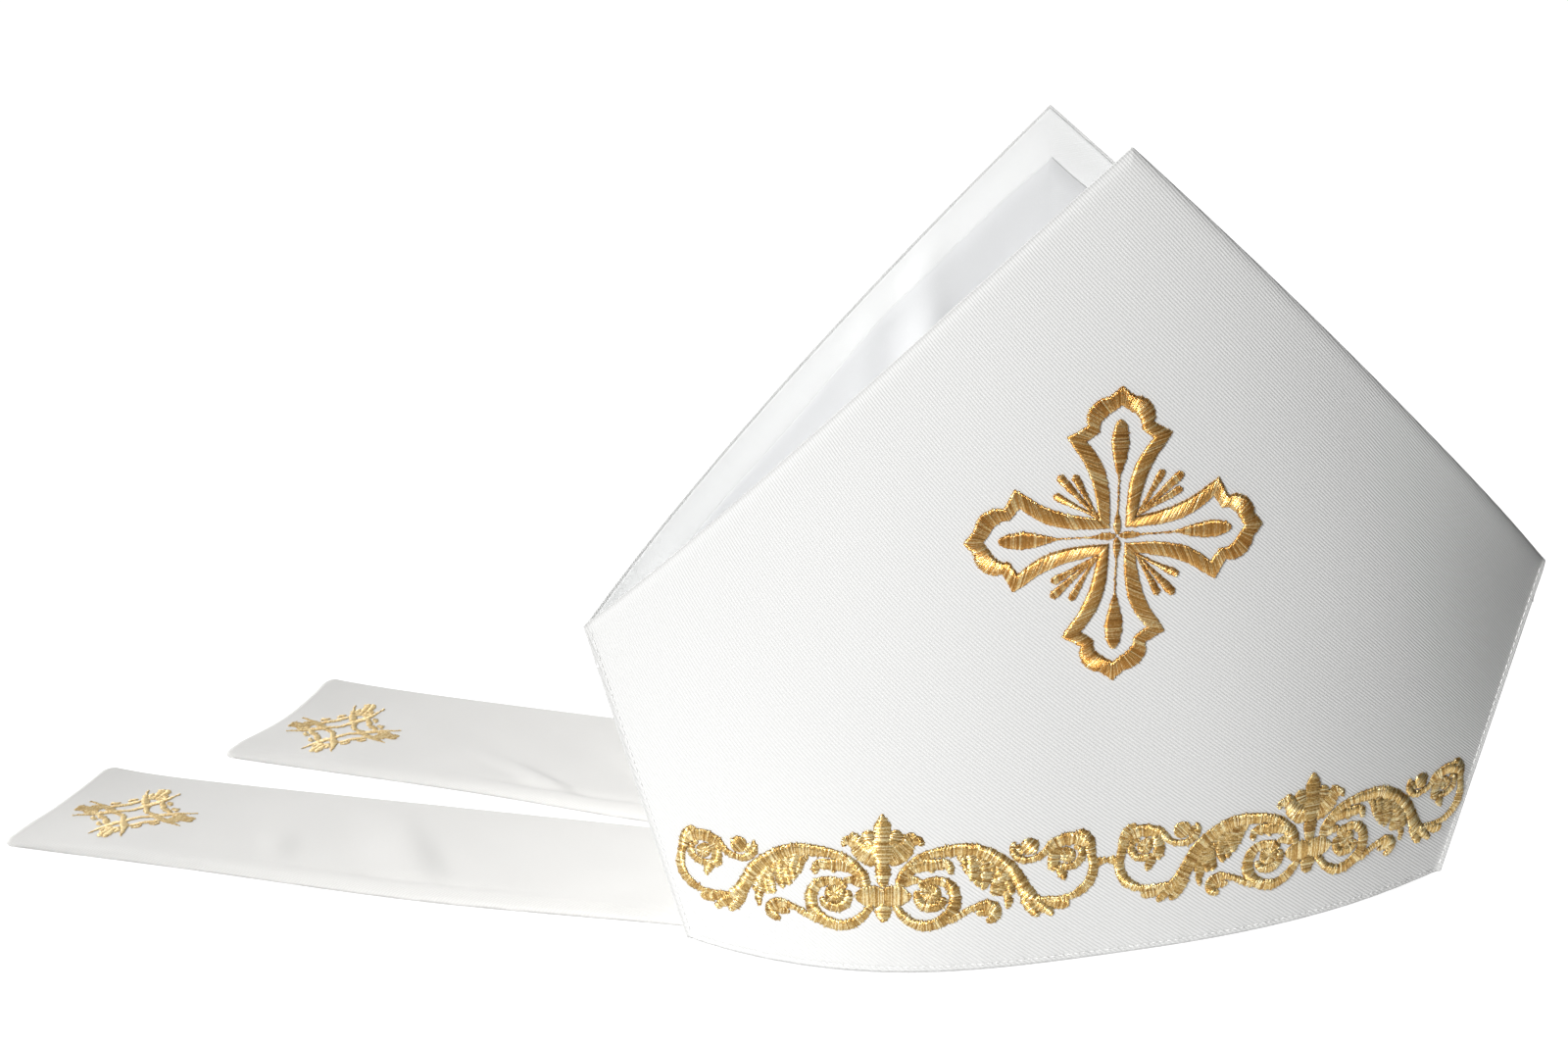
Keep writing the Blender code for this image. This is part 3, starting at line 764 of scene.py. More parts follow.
@dataclass
class Lining(Maker):
    """The soft lining that hangs as a valley between the two horns."""

    form: MitreForm
    half_length: float = 0.163
    valley: float = 0.150
    valley_end: float = 0.1215
    power: float = 4.0
    inset: float = 0.0009
    off_seam: float = 0.0006
    thickness: float = 0.0003
    rows: int = 97
    columns: int = 201

    def edge(self, x: Array, side: Side) -> Array:
        """Line inside a panel, over the facing's free edge, from which the lining hangs."""
        z = self.form.edge_height(x) - self.form.facing_width(x) * self.form.edge_stretch()
        inset = self.form.wall_at(x, z) + self.inset + self.form.ripple(x)
        return self.form.from_panel(x, z, side, inset, self.off_seam)

    def wrinkles(self, x: Array, share: Array, side: Array) -> Array:
        """Soft folds that run down from the sewn edge and fade towards the valley's floor.

        Args:
            x: Distance across.
            share: From 0 in the valley to 1 at the edge.
            side: 1 on the back's side and -1 on the front's.

        Returns:
            Height of the folds.
        """
        fold = 0.0005 * np.sin(x / 0.0105 + 2.2 * np.sin(x / 0.041) + 1.5 * side) * ease(share, 0.35, 0.75)
        fold += 0.0008 * np.sin(x / 0.019 + 4 * share + side) * ease(share, 0.1, 0.5)
        fold += 0.0016 * bump(x, -0.047, 0.007) * bump(share, 0.90, 0.09) * (side > 0)
        fold -= 0.0010 * bump(x, -0.062, 0.008) * bump(share, 0.86, 0.09) * (side > 0)
        return fold * (1 - ease(share, 0.93, 1.0)) * ease(self.half_length - np.abs(x), 0.0, 0.02)

    def surface(self, x: Array, v: Array) -> Array:
        """Points of the upper face.

        Each cross line runs from the front edge to the back edge. Its height over the valley's
        floor grows as a power of the share of the way out to the edge.

        Args:
            x: Distance across.
            v: From -1 at the front edge to 1 at the back edge.

        Returns:
            The points.
        """
        front, back = self.edge(x, Side.FRONT), self.edge(x, Side.BACK)
        floor = self.valley_end + (self.valley - self.valley_end) * (1 - (x / self.half_length) ** 2)
        chosen = np.where((v < 0)[..., None], front, back)
        share = np.abs(v)
        low = np.minimum(floor, chosen[..., 2] - 0.002)
        height = low + (chosen[..., 2] - low) * share**self.power
        y = chosen[..., 1] * share
        fold = self.wrinkles(x, share, np.sign(v))
        x = x + (chosen[..., 0] - x) * share
        return np.stack([x, y - np.sign(v) * fold, height + 0.4 * fold], axis=-1)

    def build(self, name: str, material: Material) -> Piece:
        """Make the lining as a closed thin sheet."""
        x = np.linspace(-1, 1, self.columns)[None, :] * self.half_length
        v = np.linspace(-1, 1, self.rows)
        # A power below 1 sets the rows closer together towards both edges.
        v = np.sign(v) * np.abs(v) ** 0.85
        seen = self.surface(x + 0 * v[:, None], v[:, None] + 0 * x) + self.form.origin()
        normals = sheet_normals(seen)
        normals *= np.sign(normals[..., 2:].mean())
        return cloth_shell(name, seen, seen - normals * self.thickness, (4, 4), material)


@dataclass(frozen=True)
class Fold:
    """A soft ridge across a lappet: it rises slowly from the tip's side and falls off quickly.

    at is its distance from the end at the near edge and slant how fast that grows across.
    """

    at: float
    slant: float
    height: float
    across: float
    spread: float
    rise: float
    fall: float

    def lift(self, from_end: Array, across: Array) -> Array:
        """Height of the ridge at each point."""
        along = from_end - self.at - self.slant * across
        profile = ease(along, -self.rise, 0.0) * (1 - ease(along, -0.0005, self.fall))
        return self.height * profile * bump(across, self.across, self.spread)


@dataclass(frozen=True)
class LappetRow:
    """How one lappet lies: direction, near edge, end, far edge, bulge of the near edge, folds."""

    name: str
    angle: float
    near: float
    end: float
    lift: float
    taper: float
    skew: float
    curl: float
    bulge_at: float
    bulge_spread: float
    bulge: float
    folds: tuple[Fold, ...]


@dataclass
class Lappet(Maker):
    """One lappet: a flat tube of satin over an interlining, laid down with a soft near edge."""

    form: MitreForm
    row: LappetRow
    width: float = 0.076
    hidden: float = 0.150
    corner: float = 0.006
    past_end: float = 0.002
    roll: float = 0.0052
    roll_height: float = 0.0044
    flat_height: float = 0.0020
    far_round: float = 0.0012
    tip_round: float = 0.0030
    rows: int = 157
    columns: int = 77

    def axes(self) -> tuple[Array, Array]:
        """Unit vectors along the lappet, towards its end, and across it, away from the front."""
        angle = np.radians(self.row.angle)
        along = np.array([-np.cos(angle), np.sin(angle)])
        return along, np.array([along[1], -along[0]])

    def ground(self, distance: Array, across: Array) -> Array:
        """Points of the underside, with the hidden root's narrowing and the far edge's lift.

        Args:
            distance: Along the lappet.
            across: From the near edge.

        Returns:
            The points.
        """
        row = self.row
        along, aside = self.axes()
        share = np.clip(across / self.width, 0, 1)
        hidden = np.clip(self.hidden - distance, 0, None)
        from_end = row.end - distance
        offset = row.near + across - row.taper * share * hidden**2
        bulge = row.bulge * bump(from_end, row.bulge_at, row.bulge_spread) - 0.0012 * np.exp(-from_end / 0.03)
        offset = offset - bulge * (1 - share) ** 2
        x, y = (along[axis] * distance + aside[axis] * offset for axis in (0, 1))
        lift = row.lift * share**3 * ease(distance, 0.10, 0.20) * (1 + 0.35 * np.exp(-from_end / 0.05))
        curl = row.curl * share**2.5 * np.exp(-np.clip(from_end, 0, None) / 0.017)
        return np.stack([x, y, lift + curl], axis=-1)

    def root(self, across: Array) -> Array:
        """Where each lengthwise line passes under the back panel's wall."""
        distance = np.linspace(-0.15, 0.20, 701)
        points = self.ground(distance[None, :], across[:, None])
        rim = self.form.rim_half_width
        inside = np.clip(points[..., 0] / rim, -1, 1)
        wall = self.form.depth(inside * rim, 0.0, Side.BACK) - self.form.wall / 2
        return distance[np.argmax(points[..., 1] > wall, axis=1)]

    def reach(self, across: Array) -> Array:
        """How far out each lengthwise line runs: round end corners and a slightly hollow end."""
        half = self.width / 2
        share = np.clip((np.abs(across - half) - (half - self.corner)) / self.corner, 0, 1)
        far = np.clip(across / self.width, 0, 1)
        hollow = 0.0014 * np.sin(np.pi * far) + self.row.skew * far
        return self.row.end + self.past_end - self.corner * (1 - np.sqrt(1 - share**2)) - hollow

    def length(self) -> float:
        """Length of the longest edge, from its hidden root to the end, to the millimetre."""
        across = np.linspace(0, self.width, 39)
        return round(float((self.reach(across) - self.root(across)).max()), 3)

    def height(self, distance: Array, across: Array, away: Array) -> Array:
        """Height of the top face over the underside.

        From the near edge it rises as a quarter ellipse to a soft bead, then sinks slowly to the
        flat height and closes at the far edge as a small quarter circle. Long soft waves, a
        hollow behind the bead and the folds lie on it.

        Args:
            distance: Along the lappet.
            across: From the near edge.
            away: Distance out from the root under the mitre.

        Returns:
            The height.
        """
        from_end = self.row.end + self.past_end - distance
        swell = self.roll_height * (0.55 + 0.45 * ease(from_end, 0.0, 0.060))
        swell = swell * (0.95 + 0.05 * np.sin(from_end / 0.035 + 1.0))
        rise = quarter_round(across / self.roll)
        body = swell + (self.flat_height - swell) * ease(across, self.roll * 0.7, self.width * 0.75)
        near_fold = bump(from_end, self.row.folds[0].at - 0.012, 0.030)
        body = body - (0.00015 + 0.00110 * near_fold) * bump(across, self.roll * 1.55, 0.0026)
        close = quarter_round((self.width - across) / self.far_round)
        tip = quarter_round(from_end / self.tip_round)
        wave = 0.00022 * np.sin(distance / 0.019 + across / 0.030) * np.sin(across / 0.017 + 1)
        ripple = np.sin(distance / 0.0085 + 2 * np.sin(across / 0.016))
        wave = wave + 0.00016 * ripple * np.sin(across / 0.010)
        wave = wave + sum(fold.lift(from_end, across) for fold in self.row.folds)
        full = (body + wave * ease(across, 0.002, 0.010) * ease(self.width - across, 0.0, 0.012)) * rise
        thin = np.minimum(full, 0.0019 * rise)
        full = thin + (full - thin) * ease(away, 0.012, 0.050)
        return 0.0002 + np.clip(full, 0.0006, None) * close * tip

    def top(self, distance: Array, across: Array) -> Array:
        """Point of the top face, well away from the root."""
        points = self.ground(distance, across)
        points[..., 2] += self.height(distance, across, np.full_like(distance, 1.0))
        return points

    def build(self, name: str, material: Material) -> Piece:
        """Make the lappet."""
        # A sine brings the lengthwise lines close together at both long edges, and the rows
        # close up over the last fifth.
        t = np.linspace(0, 1, self.columns)
        share = t - 0.86 * np.sin(2 * np.pi * t) / (2 * np.pi)
        across = (share * self.width)[None, :]
        root, reach = self.root(across[0]), self.reach(across[0])
        s = np.linspace(0, 1, self.rows)[:, None]
        s = s + 0.94 * ease(s, 0.80, 1.0) * (1 - s) * 0.5
        distance = root + (reach - root) * s
        ground = self.ground(distance, across + 0 * s)
        top = ground.copy()
        top[..., 2] += self.height(distance, across + 0 * s, distance - root)
        ground[..., 2] += 0.0001
        return cloth_shell(name, top + self.form.origin(), ground + self.form.origin(), (3, 3), material)


# ---------------------------------------------------------------- threads


# Where along a stitch its rings of points sit, for each number of rings.
STRAND_RINGS = {
    4: (0.0, 0.15, 0.85, 1.0),
    5: (0.0, 0.09, 0.5, 0.91, 1.0),
    7: (0.0, 0.05, 0.20, 0.5, 0.80, 0.95, 1.0),
}


@dataclass
class ThreadWork:
    """A heap of stitches, each a small arched strand, kept as arrays until they are laid down."""

    rng: np.random.Generator
    pitch: float = 0.00044
    thread: float = 0.00046
    rings: int = 7
    ragged: float = 0.00016
    uneven: float = 0.20
    uneven_height: float = 0.00005
    shortest: float = 0.0004
    full_width: float = 0.0045
    narrow_crown: float = 0.38
    end_width: float = 0.45
    half_width: float = 0.62
    flatness: float = 0.75
    padding_below: float = 0.00018
    padding_least: float = 0.00005
    padding_sunk: float = 0.0003
    # The padding is darker than the stitches: painted shade that shows between the strands and at the
    # columns' edges.
    padding_tone: float = 0.12
    points: list[Array] = field(default_factory=list)
    faces: list[Array] = field(default_factory=list)
    tones: list[Array] = field(default_factory=list)
    count: int = 0

    def add(self, points: Array, faces: Array, tone: Array) -> None:
        """Keep a batch of points as (across, up, height), their quads and their tones."""
        self.points.append(points)
        self.faces.append(faces + self.count)
        self.tones.append(tone)
        self.count += len(points)

    def strands(self, start: Array, end: Array, height: Array, tone: Array, floor: float = 0.0) -> None:
        """Add one arched strand for each pair of end points.

        A strand's middle line rises as an arch. Its section is a diamond that narrows at both ends.

        Args:
            start: First ends, as (across, up) in metres.
            end: Last ends.
            height: How high each strand's crown stands over its ends.
            tone: Tone of each strand.
            floor: Height of the ends.
        """
        n = len(start)
        if not n:
            return
        t = np.array(STRAND_RINGS[self.rings])[None, :, None]
        middle = start[:, None, :] * (1 - t) + end[:, None, :] * t
        flat = unit(end - start)
        aside = np.stack([-flat[:, 1], flat[:, 0]], -1)[:, None, None, :]
        crown = floor + height[:, None] * arch(t[..., 0])
        narrow = np.where((t[..., 0] < 0.001) | (t[..., 0] > 0.999), self.end_width, 1.0)
        radius = (self.thread * self.half_width * narrow)[..., None]
        spread = radius * np.array([1, 0, -1, 0])
        rise = radius * np.array([0, 1, 0, -1]) * self.flatness
        across_up = middle[:, :, None, :] + aside * spread[..., None]
        points = np.concatenate([across_up, (crown[..., None] + rise)[..., None]], -1)
        ring = np.arange(self.rings - 1)[:, None] * 4 + np.arange(4)
        after = np.roll(np.arange(4), -1)
        side = np.stack([ring, ring[:, after], ring[:, after] + 4, ring + 4], -1).reshape(-1, 4)
        last = (self.rings - 1) * 4
        one = np.concatenate([side, [[3, 2, 1, 0], [last, last + 1, last + 2, last + 3]]])
        faces = (one[None] + np.arange(n)[:, None, None] * self.rings * 4).reshape(-1, 4)
        self.add(points.reshape(-1, 3), faces, np.repeat(tone, self.rings * 4))

    def underlay(self, left: Array, right: Array, height: Array) -> None:
        """Add the padding under a column: a closed ribbon with a half-oval section.

        The padding is real, but its dark tone is painted shade that shows in the gaps between strands and
        along the columns' edges.

        Args:
            left: One outline, in metres.
            right: The facing outline, with as many points.
            height: Crown height at each point.
        """
        share = np.array([0.04, 0.14, 0.32, 0.5, 0.68, 0.86, 0.96])
        flat = left[:, None] * (1 - share[:, None]) + right[:, None] * share[:, None]
        crown = arch(share) * height[:, None] - self.padding_least
        top = np.concatenate([flat, crown[..., None]], -1)
        base = np.concatenate([flat[:, [-1, 0]], np.full((len(left), 2, 1), -self.padding_sunk)], -1)
        section = np.concatenate([top, base], 1)
        rows, columns = section.shape[:2]
        j, i = np.meshgrid(np.arange(rows - 1) * columns, np.arange(columns), indexing="ij")
        after = (i + 1) % columns
        sides = np.stack([j + i, j + after, j + columns + after, j + columns + i], -1).reshape(-1, 4)
        cap = np.array([[0, 1, 7, 8], [1, 2, 6, 7], [2, 3, 5, 6]])
        faces = np.concatenate([sides, cap, (rows - 1) * columns + cap[:, ::-1]])
        # Painted shade: the padding's dark tone.
        self.add(section.reshape(-1, 3), faces, np.full(rows * columns, self.padding_tone))

    def column(
        self, left: Array, right: Array, height: float, slant: float = 0.0, tone: float = 0.5,
    ) -> None:
        """Fill the space between two outlines with satin stitches.

        The middle line's length is measured, and stitches are set along it at an even pitch.
        Where the column is narrower than its full width its crown is lower.

        Args:
            left: One outline, in metres.
            right: The facing outline, with as many points.
            height: Crown height at the full width.
            slant: How far the left end of a stitch runs ahead of the right one.
            tone: Mean tone of the stitches.
        """
        length = run_length((left + right) / 2)
        total = length[-1]
        spot = np.arange(-abs(slant) / 2 + self.pitch / 2, total + abs(slant) / 2, self.pitch)
        a = points_at(np.clip(spot + slant / 2, 0, total), length, left)
        b = points_at(np.clip(spot - slant / 2, 0, total), length, right)
        long = np.linalg.norm(b - a, axis=1) > self.shortest
        a, b = a[long], b[long]
        low = self.narrow_crown
        crown, pad = (
            height * (low + (1 - low) * np.clip(np.linalg.norm(wide, axis=1) / self.full_width, 0, 1))
            for wide in (b - a, right - left)
        )
        way, draw = unit(b - a), self.rng.normal
        a = a + way * draw(0, self.ragged, (len(a), 1))
        b = b + way * draw(0, self.ragged, (len(b), 1))
        crown = crown + draw(0, self.uneven_height, len(a))
        self.strands(a, b, crown, np.clip(tone + draw(0, self.uneven, len(a)), 0, 1))
        self.underlay(left, right, np.maximum(pad - self.padding_below, self.padding_least))

    def repeat(
        self, outlines: tuple[Array, Array], height: float, turns: Iterable[int] = (0,),
        flips: tuple[int, ...] = (1,), slant: float = 0.0, tone: float = 0.5,
    ) -> None:
        """Fill a stroke, and its copies round a centre.

        Args:
            outlines: Its two outlines.
            height: Crown height.
            turns: The quarter turns at which it is drawn.
            flips: 1 for the stroke itself and -1 for its mirror image.
            slant: As for a column.
            tone: As for a column.
        """
        for turn in turns:
            for flip in flips:
                left, right = (turned(outline, turn, flip) for outline in outlines)
                self.column(left, right, height, slant, tone)

    def build(self, name: str, place: Callable[[Array], Array], material: Material) -> Piece:
        """Lay all the stitches on a surface and make them one piece.

        Args:
            name: Name of the piece.
            place: Function that turns flat points (across, up, height) into points in space.
            material: The thread's finish.

        Returns:
            The piece.
        """
        points = place(np.concatenate(self.points))
        tone = np.concatenate(self.tones)
        return make_piece(name, points, np.concatenate(self.faces), material, tone=tone)


def smooth_line(points: Array, steps: int) -> Array:
    """Run a Catmull-Rom curve through rows of numbers.

    Args:
        points: Rows that the curve passes through.
        steps: Number of steps between two rows.

    Returns:
        The finer rows.
    """
    rows = np.asarray(points, float)
    rows = np.vstack([2 * rows[0] - rows[1], rows, 2 * rows[-1] - rows[-2]])
    t = (np.arange(steps) / steps)[:, None]
    spans = [
        0.5 * (2 * b + (c - a) * t + (2 * a - 5 * b + 4 * c - d) * t**2 + (3 * b - a - 3 * c + d) * t**3)
        for a, b, c, d in zip(rows, rows[1:], rows[2:], rows[3:])
    ]
    return np.vstack([*spans, rows[-2:-1]])


def stroke_outlines(points: tuple, steps: int = 8, wider: float = 0.0) -> tuple[Array, Array]:
    """Left and right outlines of a stroke given as (across, up, half width) in millimetres.

    Both ends are rounded: within one half width of an end, the half width follows a circle.

    Args:
        points: The stroke's rows.
        steps: Number of steps between two rows.
        wider: What is added to every half width.

    Returns:
        The two outlines in metres.
    """
    curve = smooth_line(np.array(points, float), steps)
    curve[:, 2] += wider
    length = run_length(curve[:, :2])
    near_end = np.array([0.1, 0.25, 0.5, 0.8])
    spot = np.unique(np.concatenate([length, near_end, length[-1] - near_end]))
    spot = spot[(spot >= 0) & (spot <= length[-1])]
    curve = points_at(spot, length, curve)
    half = np.maximum(curve[:, 2], 0.15)
    for away, end in ((spot, half[0]), (spot[-1] - spot, half[-1])):
        half = half * np.maximum(quarter_round(away / end), 0.12)
    tangent = unit(np.gradient(curve[:, :2], axis=0))
    aside = np.stack([-tangent[:, 1], tangent[:, 0]], axis=1) * half[:, None]
    return (curve[:, :2] + aside) * MM, (curve[:, :2] - aside) * MM


def spiral(
    centre: tuple[float, float], radius: float, turns: float, half_width: float, start: float,
) -> tuple:
    """Stroke that winds inwards to a point: the radius falls evenly with the angle.

    Args:
        centre: Middle of the spiral, in millimetres.
        radius: Outer radius of its middle line.
        turns: How many turns it makes.
        half_width: Half the stroke's width.
        start: Angle of the outer end, in turns.

    Returns:
        Rows of (across, up, half width).
    """
    t = np.linspace(0, 1, max(int(turns * 8), 5))
    angle = 2 * np.pi * (start + turns * t)
    reach = radius * (1 - t)
    across, up = centre[0] + reach * np.cos(angle), centre[1] + reach * np.sin(angle)
    return tuple(zip(across, up, 0 * t + half_width))


QUARTER_TURNS = ((1, 0), (0, 1), (-1, 0), (0, -1))


def turned(points: Array, turn: int, flip: int) -> Array:
    """Flat points mirrored across the upright axis if flip is -1, then turned by quarter turns.

    Args:
        points: Rows of (across, up).
        turn: Number of quarter turns.
        flip: 1 or -1.

    Returns:
        The moved points.
    """
    cosine, sine = QUARTER_TURNS[turn]
    return points * np.array([flip, 1]) @ np.array([[cosine, sine], [-sine, cosine]])


def mirrorings(points: tuple) -> tuple[int, ...]:
    """A stroke on the axis is drawn once, and any other one mirrored as well."""
    return (1,) if all(abs(point[0]) < 1e-6 for point in points) else (1, -1)


@dataclass
class PanelLaying:
    """Lays flat needlework on a panel."""

    panel: Panel
    centre: tuple[float, float] = (0.0, 0.0)
    by_arc: bool = False
    gap: float = 0.0

    def __call__(self, flat: Array) -> Array:
        """Turn (across, up, height) into points: on the face, then out along its normal."""
        form = self.panel.form
        across = flat[:, 0] + self.centre[0]
        x = form.band_x(across) if self.by_arc else across
        z = flat[:, 1] + self.centre[1]
        normal = form.normal(x, z, self.panel.side)
        return self.panel.outer(x, z) + (self.gap + flat[:, 2:3]) * normal + form.origin()


@dataclass
class MitreCross:
    """The large cross on the front: a satin border of one slanted column, petals and rays."""

    panel: Panel
    centre: tuple[float, float] = (0.0, 0.1555)
    height: float = 0.00060
    # Half an arm from its crotch to its tip. Each row has a point of the outer outline and one of
    # the inner, as (across, along) in millimetres, and if it is a corner that no curve rounds.
    half_arm: tuple = (
        ((6.3, 6.3), (2.7, 2.7), True),
        ((7.5, 12.3), (2.8, 9.5), False),
        ((9.2, 19.1), (3.3, 16.0), False),
        ((12.3, 26.3), (4.9, 23.0), False),
        ((15.6, 31.2), (7.8, 28.6), False),
        ((18.1, 35.2), (11.5, 33.5), True),
        ((14.6, 37.0), (9.4, 34.9), False),
        ((11.4, 38.8), (7.2, 36.6), True),
        ((11.7, 42.2), (6.8, 39.4), False),
        ((10.0, 45.7), (5.0, 41.7), False),
        ((6.9, 48.0), (3.4, 42.9), False),
        ((4.2, 48.7), (2.0, 43.8), False),
        ((0.0, 52.0), (0.0, 45.2), True),
    )
    rays: tuple = (
        ((6.8, 6.8, 0.35), (11.0, 14.2, 0.75), (14.4, 20.4, 1.35), (15.3, 22.0, 0.9)),
        ((6.8, 6.8, 0.35), (14.0, 13.4, 0.85), (20.4, 19.2, 1.55), (22.0, 20.7, 1.0)),
        ((6.8, 6.8, 0.35), (14.2, 11.0, 0.75), (20.4, 14.4, 1.35), (22.0, 15.3, 0.9)),
    )
    petals: tuple = (
        ((0.0, 0.6, 0.5), (0.0, 3.6, 1.3), (0.0, 8.2, 0.35)),
        ((0.0, 7.5, 0.22), (0.0, 14.5, 0.22), (0.0, 21.5, 0.25)),
        ((0.0, 20.5, 0.3), (0.0, 26.0, 2.0), (0.0, 32.5, 3.1), (0.0, 38.0, 2.2), (0.0, 40.4, 0.5)),
    )

    def outline(self, which: int) -> Array:
        """Half an arm's outline in metres: the outer one if which is 0, the inner one if it is 1."""
        rows = np.array([row[which] for row in self.half_arm])
        corners = [number for number, row in enumerate(self.half_arm) if row[2]]
        runs = [smooth_line(rows[a: b + 1], 12)[:-1] for a, b in zip(corners, corners[1:])]
        return np.vstack([*runs, rows[-1:]]) * MM

    def border(self) -> ThreadWork:
        """Stitches of the border, eight mirrored halves, and of the rays, slanted outwards."""
        work = ThreadWork(np.random.default_rng(11))
        work.repeat((self.outline(0), self.outline(1)), self.height, range(4), (1, -1))
        for turn in range(4):
            for ray in self.rays:
                work.repeat(stroke_outlines(ray), self.height, (turn,), slant=0.0006)
        return work

    def petal_work(self) -> ThreadWork:
        """Stitches of the four petals, their stems and the small crossed leaves."""
        work = ThreadWork(np.random.default_rng(12))
        for turn in range(4):
            for petal in self.petals:
                work.repeat(stroke_outlines(petal), self.height, (turn,))
        return work

    def build(self, material: Material) -> list[Piece]:
        """Make the border and the petals.

        Args:
            material: The gold thread.

        Returns:
            Both pieces.
        """
        laying = PanelLaying(self.panel, self.centre, gap=0.0001)
        border = self.border().build("cross_border_stitching", laying, material)
        return [border, self.petal_work().build("cross_petal_stitching", laying, material)]


